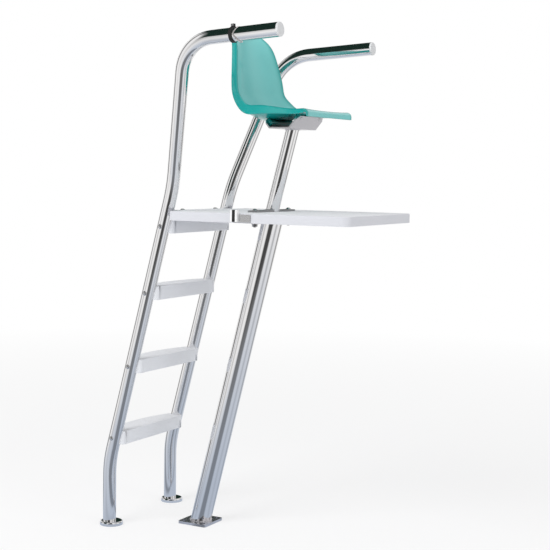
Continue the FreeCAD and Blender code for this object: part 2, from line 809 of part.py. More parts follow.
def seat_rib(side, under):
    """A moulded rib along the inner face of a flange, joined to the underside of the shell."""
    foot, upwards, outward, length = flange_frame(side)
    low = foot + upwards * (length - size("seat_rib_height"))
    high = foot + upwards * (length + 2 * size("seat_rib_height"))
    inwards = Vector(0, -side * size("seat_rib_thickness"), 0)
    start = Vector(-size("seat_rib_length") / 2, 0, 0)
    corners = [low + start, high + start, high + inwards + start, low + inwards + start, low + start]
    bar = Part.Face(Part.makePolygon(corners)).extrude(Vector(size("seat_rib_length"), 0, 0))
    return bar.common([under], BOOLEAN_TOLERANCE)


def make_seat():
    """The shell is one loft with an even wall; its ribs reach half way into that wall."""
    wall = size("seat_wall")
    shell = Part.makeLoft(seat_sections(0.0, wall), True, False)
    under = Part.makeLoft(seat_sections(wall / 2, 2 * size("seat_bowl_radius") / 3), True, False)
    radius = size("seat_screw_diameter") / 2
    screws = [Part.makeCylinder(radius, size("seat_screw_length"), middle, outward * -1)
              for middle, outward in seat_screw_places()]
    ribs = [seat_rib(side, under) for side in (-1, 1)]
    solid = shell.fuse(ribs, BOOLEAN_TOLERANCE).cut(screws, BOOLEAN_TOLERANCE)
    made = new("Part::Feature", "seat_shell_feature")
    made.Shape = solid
    node(made, "seat_shell")


# Platform boards

def make_rear_board():
    """The rear board, with a tongue between the rails that lies on the fourth tread."""
    body = new_body("rear_board_body")
    outline = sketch_on(body, "rear_board_outline", "XY_Plane")
    half = "Sizes.board_width / 2"
    inner = "(Sizes.rail_spacing / 2 - Sizes.rail_diameter / 2 - Sizes.tongue_side_gap)"
    front = "-(Sizes.board_joint - Sizes.board_joint_gap / 2)"
    rear = "-Sizes.board_rear_edge"
    corners = [("-" + half, front), (half, front), (half, rear), (inner, rear), (inner, "Sizes.tongue_reach"),
               ("-" + inner, "Sizes.tongue_reach"), ("-" + inner, rear), ("-" + half, rear)]
    add_polygon(outline, corners)
    pad(body, outline, "rear_board_pad", "Sizes.board_thickness")
    rear_edge = -size("board_rear_edge")
    half_width = size("board_width") / 2
    round_edges(body, "rear_board_corners", "Sizes.board_corner_radius / 2",
                lambda edge: runs_along(edge, 2) and (lies_at(edge, 1, size("tongue_reach")) or
                                                      (lies_at(edge, 1, rear_edge) and
                                                       abs(abs(edge.CenterOfMass.x) - half_width) < 1)))
    finish_board(body, "rear_board")


def make_front_board():
    """The front board, with two rounded front corners."""
    body = new_body("front_board_body")
    outline = sketch_on(body, "front_board_outline", "XY_Plane")
    add_polygon(outline, rectangle("-Sizes.board_width / 2", "Sizes.board_width / 2",
                                   "-Sizes.board_front_reach",
                                   "-(Sizes.board_joint + Sizes.board_joint_gap / 2)"))
    pad(body, outline, "front_board_pad", "Sizes.board_thickness")
    round_edges(body, "front_board_corners", "Sizes.board_corner_radius",
                lambda edge: runs_along(edge, 2) and lies_at(edge, 1, -size("board_front_reach")))
    finish_board(body, "front_board")


def finish_board(body, label):
    """Softens the upper edge and makes room for the post, the bolts and the board's screws."""
    thickness = size("board_thickness")
    round_edges(body, label + "_edge", "Sizes.board_edge_radius", lambda edge: lies_at(edge, 2, thickness))
    body.Placement = Placement(Vector(0, 0, PLATFORM_UNDERSIDE), Rotation())
    along = Vector(0, -sin(size("post_lean")), cos(size("post_lean")))
    base = Vector(0, POST_AT_PLATFORM, size("platform_top")) - along * 3 * size("post_diameter")
    tools = [cylinder(label + "_post_room", "Sizes.post_diameter / 2 + Sizes.hole_gap",
                      "6 * Sizes.post_diameter", base, along)]
    for side in (-1, 1):
        point = Vector(side * size("platform_bolt_reach"), POST_AT_PLATFORM, PLATFORM_UNDERSIDE)
        tools.append(cylinder(label + "_bolt_hole", "(Sizes.platform_bolt_diameter + Sizes.hole_gap) / 2",
                              "Sizes.board_thickness", point, Vector(0, 0, 1)))
        point = Vector(side * size("board_screw_reach"), ladder_y(tread_middle(LAST_TREAD)),
                       PLATFORM_UNDERSIDE)
        tools.append(cylinder(label + "_screw_hole", "(Sizes.board_screw_diameter + Sizes.hole_gap) / 2",
                              "Sizes.board_thickness", point, Vector(0, 0, 1)))
    node(cut(label + "_cut", body, fuse(label + "_tools", tools)), label)


# Fittings at the near end of the joint

def make_joint_fittings():
    """A dark strip between two light trims that stand at the joint's right end, and a plate ahead of them."""
    low = size("platform_top") - size("strip_drop")
    height = "Sizes.strip_drop + Sizes.strip_stand"
    outer = -size("board_width") / 2
    middle = -size("board_joint")
    start = middle - size("strip_width") / 2
    corner = Vector(outer - size("strip_depth"), start, low)
    node(box("joint_strip_box", "Sizes.strip_depth", "Sizes.strip_width", height, corner), "joint_strip")
    corner = Vector(corner.x, start - size("trim_width"), low)
    node(box("joint_trim_front_box", "Sizes.strip_depth", "Sizes.trim_width", height, corner),
         "joint_trim_front")
    corner = Vector(corner.x, start + size("strip_width"), low)
    node(box("joint_trim_rear_box", "Sizes.strip_depth", "Sizes.trim_width", height, corner),
         "joint_trim_rear")
    corner = Vector(outer - size("joint_plate_thickness"),
                    start - size("trim_width") - size("joint_plate_length"),
                    size("platform_top") - size("board_thickness") / 2 - size("joint_plate_height") / 2)
    node(box("joint_plate_box", "Sizes.joint_plate_thickness", "Sizes.joint_plate_length",
             "Sizes.joint_plate_height", corner), "joint_plate")


# Fasteners

def dome(diameter, height):
    """A domed head on the XY plane."""
    radius = (diameter * diameter / 4 + height * height) / (2 * height)
    ball = Part.makeSphere(radius, Vector(0, 0, height - radius))
    return ball.common(Part.makeCylinder(diameter / 2, height))


def screw(diameter, length, head, height):
    """A domed screw whose head sits on the XY plane and whose shank points down."""
    shank = Part.makeCylinder(diameter / 2, length, Vector(0, 0, -length))
    return dome(head, height).fuse(shank)


def place_group(label, shape, places):
    """Copies of one fastener: each place is a point and the direction that its head faces."""
    copies = []
    for point, direction in places:
        copy = shape.copy()
        copy.Placement = Placement(point, Rotation(Vector(0, 0, 1), direction))
        copies.append(copy)
    made = new("Part::Feature", label + "_group")
    made.Shape = Part.makeCompound(copies)
    node(made, label)


def make_tread_bolts():
    """Two bolts to each tread, through the rails and into the tread's solid ends."""
    length = size("tread_bolt_length") + RAIL_RADIUS - size("tread_bolt_tip_gap")
    bolt = screw(size("tread_bolt_diameter"), length, size("tread_bolt_head"), size("tread_bolt_dome"))
    places = []
    for index in TREADS:
        height = tread_middle(index)
        for side in (-1, 1):
            point = Vector(side * (HALF_SPACING + RAIL_RADIUS), ladder_y(height), height)
            places.append((point, Vector(side, 0, 0)))
    place_group("tread_bolts", bolt, places)


def make_platform_bolts():
    """Two bolts through the ears, the boards and the cross plate, with washers and nuts below."""
    grip = size("ear_thickness") + size("board_thickness") + size("cross_thickness")
    length = grip + size("washer_thickness") + size("nut_height") + size("bolt_end_stand")
    bolt = screw(size("platform_bolt_diameter"), length, size("platform_bolt_head"),
                 size("platform_bolt_dome"))
    top = size("platform_top") + size("ear_thickness")
    sides = [side * size("platform_bolt_reach") for side in (-1, 1)]
    up = Vector(0, 0, 1)
    place_group("platform_bolts", bolt, [(Vector(x, POST_AT_PLATFORM, top), up) for x in sides])
    washer = Part.makeCylinder(size("washer_diameter") / 2, size("washer_thickness"))
    washer = washer.cut(Part.makeCylinder(BOLT_HOLE / 2, size("washer_thickness")))
    low = CROSS_UNDERSIDE - size("washer_thickness")
    place_group("platform_washers", washer, [(Vector(x, POST_AT_PLATFORM, low), up) for x in sides])
    corner = size("nut_across_flats") / math.sqrt(3)
    hexagon = [Vector(corner * cos(HEXAGON_TURN * k), corner * sin(HEXAGON_TURN * k), 0) for k in range(7)]
    nut = Part.Face(Part.makePolygon(hexagon)).extrude(Vector(0, 0, size("nut_height")))
    nut = nut.cut(Part.makeCylinder((size("platform_bolt_diameter") + size("cap_fit_gap")) / 2,
                                    size("nut_height")))
    low = low - size("nut_height")
    place_group("platform_nuts", nut, [(Vector(x, POST_AT_PLATFORM, low), up) for x in sides])


def make_board_screws():
    """Two screws that hold the rear board's tongue to the fourth tread."""
    fastener = screw(size("board_screw_diameter"), size("board_screw_length"), size("board_screw_head"),
                     size("board_screw_dome"))
    y = ladder_y(tread_middle(LAST_TREAD))
    places = [(Vector(side * size("board_screw_reach"), y, size("platform_top")), Vector(0, 0, 1))
              for side in (-1, 1)]
    place_group("rear_board_screws", fastener, places)


def make_seat_screws():
    fastener = screw(size("seat_screw_diameter"), size("seat_screw_length"), size("seat_screw_head"),
                     size("seat_screw_dome"))
    place_group("seat_screws", fastener, seat_screw_places())


# Clip on the right arm

def make_arm_clip():
    """A split band round the arm with two lugs drawn together by a screw."""
    points = rail_points()
    along = (points[4] - points[3]).normalize()
    middle = points[3] + along * size("clip_place")
    frame = Placement(Vector(-middle.x, middle.y, middle.z),
                      Rotation(Vector(0, 0, 1), Vector(-along.x, along.y, along.z)))
    inner = RAIL_RADIUS + size("cap_fit_gap")
    outer = inner + size("clip_thickness")
    width = size("clip_width")
    band = Part.makeCylinder(outer, width)
    lug = size("clip_lug_thickness")
    slit = size("clip_slit")
    lugs = Part.makeBox(slit + 2 * lug, outer + size("clip_lug_height"), width, Vector(-slit / 2 - lug, 0, 0))
    band = band.fuse(lugs).cut(Part.makeCylinder(inner, width))
    band = band.cut(Part.makeBox(slit, outer + size("clip_lug_height"), width, Vector(-slit / 2, 0, 0)))
    height = outer + size("clip_lug_height") / 2
    reach = slit / 2 + lug
    hole = Part.makeCylinder((size("clip_screw_diameter") + size("cap_fit_gap")) / 2, 2 * reach,
                             Vector(-reach, height, width / 2), Vector(1, 0, 0))
    band = band.cut(hole)
    made = new("Part::Feature", "arm_clip_band")
    made.Shape = band
    made.Placement = frame
    node(made, "arm_clip")
    bolt = screw(size("clip_screw_diameter"), 2 * reach + size("bolt_end_stand"), size("clip_screw_head"),
                 size("clip_screw_dome"))
    bolt.Placement = Placement(Vector(-reach, height, width / 2), Rotation(Vector(0, 0, 1), Vector(-1, 0, 0)))
    made = new("Part::Feature", "arm_clip_bolt")
    made.Shape = Part.makeCompound([bolt])
    made.Placement = frame
    node(made, "arm_clip_screw")


def build():
    make_rails()
    for side, label in ((-1, "rail_cap_right"), (1, "rail_cap_left")):
        make_cap(side, label)
    for side, label in ((-1, "foot_flange_right"), (1, "foot_flange_left")):
        make_flange(side, label)
    for index in TREADS:
        make_tread(index)
    make_base_plate()
    leaning_tube("pedestal_tube", "pedestal_diameter", "pedestal_wall", "pedestal_lean", pedestal_y,
                 size("base_thickness"), CROSS_UNDERSIDE)
    make_cross_plate()
    leaning_tube("seat_post", "post_diameter", "post_wall", "post_lean", post_y,
                 PLATFORM_UNDERSIDE, size("bracket_underside"))
    for side, label in ((-1, "post_ear_right"), (1, "post_ear_left")):
        make_ear(side, label)
    make_rear_board()
    make_front_board()
    make_joint_fittings()
    make_bracket()
    make_seat()
    make_tread_bolts()
    make_platform_bolts()
    make_board_screws()
    make_seat_screws()
    make_arm_clip()


def check_document():
    """Stops if any object failed or any sub-part has no sound shape."""
    doc.recompute()
    for made in doc.Objects:
        if "Invalid" in made.State or "Error" in made.State:
            raise RuntimeError("{} failed: {}".format(made.Label, made.State))
    for made in NODES:
        shape = made.Shape
        if shape.isNull() or not shape.isValid() or not shape.Solids:
            raise RuntimeError("{} has no valid solid".format(made.Label))


def write_steps():
    os.makedirs("parts", exist_ok=True)
    for made in NODES:
        made.Shape.exportStep(os.path.join("parts", made.Label + ".step"))


build()
check_document()
write_steps()
for made in NODES:
    print("{:22s} {:2d} solids {:12.1f} mm3".format(made.Label, len(made.Shape.Solids),
                                                    made.Shape.Volume))
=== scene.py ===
"""Looks of the lifeguard chair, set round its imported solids."""

import math

import bmesh
import bpy
from bpy.props import FloatProperty, FloatVectorProperty, IntProperty, PointerProperty
from mathutils import Matrix, Vector
from mathutils.bvhtree import BVHTree


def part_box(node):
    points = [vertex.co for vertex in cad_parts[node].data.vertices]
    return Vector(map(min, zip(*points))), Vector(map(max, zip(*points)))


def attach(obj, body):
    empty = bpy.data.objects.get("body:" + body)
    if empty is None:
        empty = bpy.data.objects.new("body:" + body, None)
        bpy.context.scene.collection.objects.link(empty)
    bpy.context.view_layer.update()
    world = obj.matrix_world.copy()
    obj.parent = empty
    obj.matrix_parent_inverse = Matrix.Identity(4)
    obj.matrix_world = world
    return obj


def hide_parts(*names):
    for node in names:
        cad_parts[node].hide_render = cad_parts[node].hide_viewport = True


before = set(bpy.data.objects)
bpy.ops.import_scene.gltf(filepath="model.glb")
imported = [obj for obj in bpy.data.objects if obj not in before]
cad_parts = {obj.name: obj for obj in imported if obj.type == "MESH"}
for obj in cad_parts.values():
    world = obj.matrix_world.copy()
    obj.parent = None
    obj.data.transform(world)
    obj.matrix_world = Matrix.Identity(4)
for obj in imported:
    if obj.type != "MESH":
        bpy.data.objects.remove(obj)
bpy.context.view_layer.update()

bl_info = {
    "name": "Lifeguard chair",
    "version": (1, 0, 0),
    "blender": (4, 5, 0),
    "location": "View3D > Sidebar > Chair",
    "description": "Finishes and small parts of a deck-mounted lifeguard chair",
    "category": "Object",
}

# The body of every piece
BODY = "root"

# Side of the picture in pixels, and width of the sensor in millimetres
IMAGE_SIDE = 550
SENSOR_WIDTH = 36.0

# CAD nodes that share a look
TUBES = ("rail_left", "rail_right", "pedestal_tube", "seat_post")
PLATES = ("pedestal_base_plate", "pedestal_top_plate", "seat_bracket")
FLANGES = ("foot_flange_left", "foot_flange_right")
CAPS = ("rail_cap_left", "rail_cap_right")
EARS = ("post_ear_left", "post_ear_right")
FASTENERS = ("tread_bolts", "platform_bolts", "platform_washers", "platform_nuts",
             "seat_screws", "arm_clip_screw", "joint_plate")
TREADS = ("tread_1", "tread_2", "tread_3", "tread_4")
BOARDS = ("rear_board", "front_board")
TRIMS = ("joint_trim_front", "joint_trim_rear")
DARK_PARTS = ("joint_strip", "arm_clip")

# How far scratches are drawn out along each axis
SCRATCH_DRAWN = (1.0, 1.0, 0.06)

# The way the seat's side with painted sheen faces
SHEEN_WAY = (0.0, -0.95, 0.30)

# The walking side of boards and treads: how much finer than the grain its specks are, their shade,
# and the share of its grain that the other sides have
SPECK_SCALE = 1.6
SPECK_SHADE = 0.88
SIDE_GRAIN = 0.12

# Dark cards round the chair that show only in its reflections: middle, half width and softness in
# degrees from the camera's side, and grey near the chair and far off
CARDS = (
    (-5.0, 23.0, 6.0, 0.45, 0.07),
    (-118.0, 11.0, 8.0, 0.50, 0.14),
    (-67.0, 7.0, 7.0, 0.85, 0.58),
    (58.0, 8.0, 8.0, 0.85, 0.42),
    (119.0, 13.0, 10.0, 0.70, 0.28),
)

# A dark beam overhead that the arms mirror: the +Y part of its direction, half width and softness
BEAM_MIDDLE = 0.47
BEAM_HALF = 0.16
BEAM_SOFT = 0.12

# The background's white
WHITE = (1.0, 1.0, 1.0)

# The large soft lights: places, the point that they look at, and their side
LIGHT_PLACES = {"key": (-5.0, 1.5, 5.0), "fill": (-1.5, -6.0, 3.0)}
LIGHT_TARGET = (0.0, -0.2, 0.9)
LIGHT_SIDE = 4.0

# The bracket under the seat: middle, width and wall of its floor, lean of its flanges in degrees,
# and length of the front and of the rear one
BRACKET_MIDDLE = -0.3694
BRACKET_FLOOR = 0.076
BRACKET_WALL = 0.005
BRACKET_LEAN = 40.0
FLANGE_LENGTHS = {-1: 0.054, 1: 0.034}

# Steps along a rib, round a turned part and up a screw's dome
RIB_STEPS = 24
TURNED_STEPS = 32
DOME_STEPS = 8

# A screw's recess: its floor's share of its radius, and the floor's height at its edge and middle
# as shares of the rim's
SOCKET_FLOOR = 0.9
SOCKET_EDGE = 0.5
SOCKET_MIDDLE = 0.4

# Wall of the arm's clip, points round the rod beside it, and the share of the rod's radius by which
# its middle stands off the arm
CLIP_WALL = 0.0025
LOOP_STEPS = 64
ROD_PROUD = 0.5

# The leaning tubes: radii, how much longer than wide their level sections are, and where the
# pedestal's top and the post's foot lie on Y
PEDESTAL_RADIUS = 0.0381
POST_RADIUS = 0.02413
LEAN_STRETCH = 1.033
PEDESTAL_TOP_Y = -0.2917
POST_FOOT_Y = -0.2921

# Weld beads: how far each way one reaches beside an ear, and the points on one ripple
EAR_TURN = math.radians(46.0)
BEAD_POINTS = 8

# Places nearer together than this are the same
SAME_PLACE = 1e-5

# The seat's sheet: faces across it, shares of the way out at which its dish and its roll end, rows
# on each stretch of its path, rounds of smoothing, the power by which its dish rises, and the width
# of the change from inner side to rim
SEAT_ACROSS = 56
SEAT_DISHED = 0.70
SEAT_ROLLED = 0.90
SEAT_ROWS = (("drop", 2), ("lip", 8), ("pan", 18), ("bowl", 20), ("back", 30), ("top", 8))
SEAT_SMOOTHING = 10
SEAT_POWER = 2.4
SEAT_INNER_FADE = 0.10

# The share of the bowl at which its dish is full. The back's corners: where on it they start, how
# far round they go and how suddenly
BOWL_DISHED = 0.5
CORNER_START = 0.55
CORNER_TURN = 0.9
CORNER_POWER = 3

# The seat's deeper edge: where on the pan it starts, what is left where the bowl ends, and where on
# the back it ends
HIP_START = 1 / 6
HIP_LEFT = 0.15
HIP_END = 1 / 3

# The seat's edge: where on the back it starts to narrow, what is left at the corners, the roll that
# the crest loses, and the shares of edge and roll at the front
NARROW_START = 0.6
NARROW_LEFT = 0.5
CREST_FLAT = 0.7
FRONT_EDGE = 0.1
FRONT_ROLL = 0.25

# Faces along a tread and along each of its solid ends, and steps round its corners and edges
TREAD_STEPS = 24
TREAD_END_STEPS = 3
CORNER_STEPS = 6
NOSE_STEPS = 6
LIP_STEPS = 3

# The upright part of a face's normal up to which it is a side, and from which it is level
SIDE_SLOPE = 0.5
LEVEL_SLOPE = 0.99


# Properties

def tone(name, text, default):
    """A colour property."""
    return FloatVectorProperty(name=name, description=text, default=default, min=0.0, max=1.0,
                               subtype="COLOR")


def share(name, text, default):
    """A share from 0 to 1."""
    return FloatProperty(name=name, description=text, default=default, min=0.0, max=1.0,
                         subtype="FACTOR")


def length(name, text, default):
    """A length in metres."""
    return FloatProperty(name=name, description=text, default=default, min=0.0,
                         unit="LENGTH", precision=4)


def angle(name, text, degrees):
    """An angle whose default is given in degrees."""
    return FloatProperty(name=name, description=text, default=math.radians(degrees), unit="ROTATION")


def number(name, text, default, unit="NONE"):
    """A number from 0 up."""
    return FloatProperty(name=name, description=text, default=default, min=0.0, unit=unit)


class ChairMetal(bpy.types.PropertyGroup):
    """Colours and polish of the steel parts."""
    tube_colour: tone("Tube colour", "Colour of the polished tubes", (0.82, 0.82, 0.83))
    tube_roughness: share("Tube roughness", "Dullness of the polished tubes", 0.08)
    plate_colour: tone("Plate colour", "Colour of the plates and the bracket", (0.66, 0.65, 0.68))
    plate_roughness: share("Plate roughness", "Dullness of the plates", 0.32)
    ear_colour: tone("Ear colour", "Colour of the bars beside the post", (0.36, 0.36, 0.37))
    cap_colour: tone("Cap colour", "Colour of the rails' end caps", (0.66, 0.67, 0.68))
    fastener_colour: tone("Fastener colour", "Colour of bolts and screws", (0.60, 0.60, 0.61))
    rod_colour: tone("Rod colour", "Colour of the bent rod beside the clip", (0.78, 0.74, 0.74))


class ChairPlastic(bpy.types.PropertyGroup):
    """Colours and grain of the moulded parts."""
    # The boards' and treads' side colours carry painted shade, and the walking top's colour painted
    # light; the specks and grain on top are the moulding's own
    board_shaded_side: tone("Board colour", "Colour of the boards' sides", (0.63, 0.64, 0.68))
    lit_walking_top: tone("Board top", "Colour of the grained walking side", (0.84, 0.85, 0.88))
    tread_shaded_side: tone("Tread colour", "Colour of the treads' sides", (0.78, 0.80, 0.84))
    # The seat's two colours are lit and shaded copies of its teal: the darker one carries painted
    # shade, the paler one painted sheen where the inner side faces up and forward
    seat_shaded_colour: tone("Seat colour", "Colour of the moulded seat", (0.003, 0.31, 0.29))
    seat_sheen_colour: tone("Seat sheen", "Colour of the seat where the sun reaches it",
                        (0.19, 0.58, 0.57))
    trim_colour: tone("Trim colour", "Colour of the light strips", (0.80, 0.80, 0.80))
    strip_colour: tone("Strip colour", "Colour of the dark strip", (0.012, 0.012, 0.012))
    grain_scale: number("Grain scale", "Grain bumps for each metre", 420.0)


class ChairSeat(bpy.types.PropertyGroup):
    """Form of the moulded seat."""
    wall: length("Wall", "Thickness of the shell", 0.006)
    front_reach: length("Front reach", "Front of the lip ahead of the pedestal's foot", 0.515)
    front_height: length("Front height", "Top of the lip above the deck", 1.536)
    lip_drop: length("Lip drop", "Straight stretch below the lip's bend", 0.011)
    lip_radius: length("Lip radius", "Bend of the lip and of the crest", 0.013)
    pan_length: length("Pan length", "Straight stretch of the pan", 0.190)
    pan_fall: angle("Pan fall", "Slope of the pan towards the back", 8.3)
    bowl_radius: length("Bowl radius", "Bend between pan and back", 0.118)
    back_length: length("Back length", "Straight stretch of the back", 0.2085)
    back_lean: angle("Back lean", "Lean of the back from upright", 6.4)
    crest_turn: angle("Crest turn", "How far the crest rolls back", 60.0)
    rim_radius: length("Rim radius", "Bend of the rolled sides", 0.008)
    rim_turn: angle("Rim turn", "How steeply the rolled sides end", 75.0)
    skirt: length("Skirt", "Flat edge beyond the rolled sides", 0.012)
    hip_skirt: length("Hip skirt", "How much deeper the edge is beside the bowl", 0.017)
    front_width: length("Front width", "Width at the lip", 0.352)
    bowl_width: length("Bowl width", "Greatest width", 0.381)
    waist_width: length("Waist width", "Width where the back begins", 0.336)
    shoulder_width: length("Shoulder width", "Width below the crest's corners", 0.2455)
    top_width: length("Top width", "Width where the corners meet the crest", 0.150)
    crest_width: length("Crest width", "Width of the crest's edge", 0.120)
    front_dish: length("Front dish", "Rise of the sides at the lip", 0.003)
    pan_dish: length("Pan dish", "Rise of the sides where the bowl begins", 0.042)
    bowl_dish: length("Bowl dish", "Rise of the sides in the bowl", 0.060)
    back_dish: length("Back dish", "Rise of the sides of the back", 0.0501)
    top_dish: length("Top dish", "Rise of the sides below the crest", 0.010)
    rib_length: length("Rib length", "Length of each rib along a flange of the bracket", 0.172)
    rib_height: length("Rib height", "How far a rib reaches below the flange's edge", 0.024)
    rib_thickness: length("Rib thickness", "Thickness of a rib", 0.012)


class ChairTreads(bpy.types.PropertyGroup):
    """Form of the moulded treads."""
    bow: length("Bow radius", "Curve of a tread's outer edge, seen from above", 0.624)
    corner: length("Corner radius", "Corners of a tread, seen from above", 0.020)
    nose: length("Nose radius", "Rounding of a tread's upper edges", 0.016)
    lip: length("Lip radius", "Rounding of a tread's lower edges", 0.0045)
    wall: length("Wall", "Wall round the hollow underneath", 0.007)
    draft: length("Draft", "How much the hollow narrows upwards", 0.002)
    roof: length("Roof", "Thickness of the walking side", 0.010)


class ChairScrews(bpy.types.PropertyGroup):
    """Screws that hold the rear board to the fourth tread."""
    head: length("Head radius", "Radius of a screw's round head", 0.009)
    dome: length("Dome height", "Height of a screw's head", 0.0045)
    stem: length("Stem radius", "Radius of a screw's stem", 0.004)
    socket: length("Socket radius", "Radius of the recess in the head", 0.003)
    depth: length("Depth", "How deep a screw goes into board and tread", 0.040)
    inset: length("Inset", "From the board's rear edge to a screw's middle", 0.015)


class ChairClip(bpy.types.PropertyGroup):
    """Sizes of the bent rod beside the arm's clip."""
    rod: length("Rod radius", "Radius of the bent rod", 0.0020)
    lead: length("Lead", "From the middle of the clip to the rod beside the arm", 0.010)
    upper_lead: length("Upper lead", "How far the rod runs ahead above the arm", 0.012)
    lower_lead: length("Lower lead", "How far the rod runs ahead below the arm", 0.019)


class ChairWelds(bpy.types.PropertyGroup):
    """Sizes of the weld beads."""
    bead: length("Bead radius", "Radius of a weld bead's section", 0.0030)
    ripples: IntProperty(name="Ripples", description="Ripples round one bead", default=44, min=3)
    ripple_share: share("Ripple share", "Height of a ripple for the bead's radius", 0.16)


class ChairStage(bpy.types.PropertyGroup):
    """Camera, floor and light."""
    camera_place: FloatVectorProperty(name="Camera place", description="Where the camera stands",
                                      default=(-4.0518, -2.5528, 1.3299),
                                      subtype="TRANSLATION", unit="LENGTH")
    camera_yaw: angle("Camera yaw", "Turn from +Y towards +X", 61.0)
    camera_pitch: angle("Camera pitch", "How far up the camera looks", -4.665)
    camera_roll: angle("Camera roll", "Tilt of the picture", 0.869)
    focal_pixels: number("Focal length", "Focal length in image pixels", 1288.54)
    floor_side: length("Floor side", "Side of the square floor", 60.0)
    floor_colour: tone("Floor colour", "Colour of the floor", (0.86, 0.86, 0.87))
    shadow_share: share("Shadow share", "Share of the lit floor that shows near the chair", 0.32)
    # The darker floor colour near the chair is painted shadow under the chair, as the metal mirrors it
    mirrored_near: tone("Floor reflection", "Floor near the chair as the metal shows it",
                        (0.52, 0.58, 0.68))
    mirrored_wall: tone("Wall reflection", "White walls as the metal shows them", (1.0, 0.99, 0.98))
    beam_colour: tone("Beam reflection", "Dark beam overhead as the metal shows it",
                      (0.010, 0.026, 0.020))
    sky_strength: number("Sky strength", "Plain light all round", 0.62)
    key_power: number("Key light", "Power of the large soft light", 260.0, "POWER")
    fill_power: number("Fill light", "Power of the opposite soft light", 100.0, "POWER")


# Node helpers

def feed(tree, slot, value):
    """Links an input to a socket, or sets its colour or number."""
    if hasattr(value, "links"):
        tree.links.new(value, slot)
    elif slot.type == "RGBA":
        slot.default_value = (*value, 1.0)
    else:
        slot.default_value = value


def put(tree, kind, inputs=None, **settings):
    """A new node with its settings, and a socket or a value for each named input."""
    node = tree.nodes.new(kind)
    for key, value in settings.items():
        setattr(node, key, value)
    for key, value in (inputs or {}).items():
        feed(tree, node.inputs[key], value)
    return node


def group_tree(name, inputs, outputs):
    """A new shader node group, the sockets that come into it and those that leave it."""
    tree = bpy.data.node_groups.new(name, "ShaderNodeTree")
    for way, sockets in (("INPUT", inputs), ("OUTPUT", outputs)):
        for label, kind in sockets.items():
            tree.interface.new_socket(label, in_out=way, socket_type="NodeSocket" + kind)
    return tree, put(tree, "NodeGroupInput").outputs, put(tree, "NodeGroupOutput").inputs


def use_group(tree, name, **inputs):
    """A shared effect's node, with a socket or a value for each input."""
    return put(tree, "ShaderNodeGroup", inputs, node_tree=bpy.data.node_groups[name])


def math_node(tree, operation, first, second=0.0):
    """One step of arithmetic on sockets or numbers."""
    return put(tree, "ShaderNodeMath", {0: first, 1: second}, operation=operation).outputs[0]


def dot(tree, vector, direction):
    """How far a vector goes in a direction."""
    return put(tree, "ShaderNodeVectorMath", {0: vector, 1: direction},
               operation="DOT_PRODUCT").outputs["Value"]


def ramp(tree, value, low=0.0, high=1.0, start=0.0, end=1.0):
    """Maps a value between two limits to a range, and no further."""
    limits = {"Value": value, "From Min": low, "From Max": high, "To Min": start, "To Max": end}
    return put(tree, "ShaderNodeMapRange", limits, clamp=True).outputs["Result"]


def mix_colour(tree, factor, first, second):
    """Mixes two colours by a factor socket."""
    return put(tree, "ShaderNodeMix", {"Factor": factor, 6: first, 7: second},
               data_type="RGBA").outputs[2]


def noise(tree, vector, scale, detail=2.0):
    """A noise by its patches for each metre and its finer layers."""
    return put(tree, "ShaderNodeTexNoise", {"Vector": vector, "Scale": scale, "Detail": detail})


# Shared effects

def drift_group(name):
    """Slow change of a colour over a surface."""
    tree, given, result = group_tree(
        name, {"Vector": "Vector", "Colour": "Color", "Scale": "Float", "Amount": "Float"},
        {"Colour": "Color", "Mask": "Float"})
    cloud = noise(tree, given["Vector"], given["Scale"], detail=3.0).outputs["Fac"]
    change = math_node(tree, "MULTIPLY", math_node(tree, "SUBTRACT", cloud, 0.5), given["Amount"])
    tint = put(tree, "ShaderNodeHueSaturation",
               {"Value": math_node(tree, "ADD", change, 1.0), "Color": given["Colour"]})
    feed(tree, result["Colour"], tint.outputs["Color"])
    feed(tree, result["Mask"], cloud)


def grain_group(name):
    """Fine moulded grain, as a height."""
    tree, given, result = group_tree(
        name, {"Vector": "Vector", "Scale": "Float"}, {"Height": "Float"})
    cells = put(tree, "ShaderNodeTexVoronoi",
                {"Vector": given["Vector"], "Scale": given["Scale"], "Smoothness": 0.7},
                feature="SMOOTH_F1")
    fine = noise(tree, given["Vector"], given["Scale"])
    feed(tree, result["Height"],
         math_node(tree, "MULTIPLY", cells.outputs["Distance"], fine.outputs["Fac"]))


def scratch_group(name):
    """Short fine scratches that lie every way."""
    tree, given, result = group_tree(
        name, {"Vector": "Vector", "Scale": "Float"}, {"Mask": "Float"})
    bend = noise(tree, given["Vector"], scale=3.0)
    drawn = put(tree, "ShaderNodeVectorMath", {0: given["Vector"], 1: SCRATCH_DRAWN},
                operation="MULTIPLY")
    moved = put(tree, "ShaderNodeVectorMath", {0: drawn.outputs[0], 1: bend.outputs["Color"]},
                operation="ADD")
    lines = noise(tree, moved.outputs[0], given["Scale"], detail=4.0)
    feed(tree, result["Mask"], ramp(tree, lines.outputs["Fac"], low=0.55, high=0.75))


def wall_group(name):
    """Level of the studio's walls in reflections, by the direction from the chair."""
    tree, given, result = group_tree(
        name, {"Vector": "Vector", "Far": "Float"}, {"Level": "Float"})
    yaw = bpy.context.scene.chair_stage.camera_yaw
    nearer = dot(tree, given["Vector"], (-math.sin(yaw), -math.cos(yaw), 0.0))
    aside = dot(tree, given["Vector"], (math.cos(yaw), -math.sin(yaw), 0.0))
    azimuth = math_node(tree, "DEGREES", math_node(tree, "ARCTAN2", aside, nearer))
    level = 1.0
    for middle, half, soft, near, far in CARDS:
        away = math_node(tree, "ABSOLUTE", math_node(tree, "SUBTRACT", azimuth, middle))
        card = ramp(tree, given["Far"], start=near, end=far)
        shade = ramp(tree, away, half - soft, half + soft, start=card)
        level = math_node(tree, "MULTIPLY", shade, level)
    feed(tree, result["Level"], level)


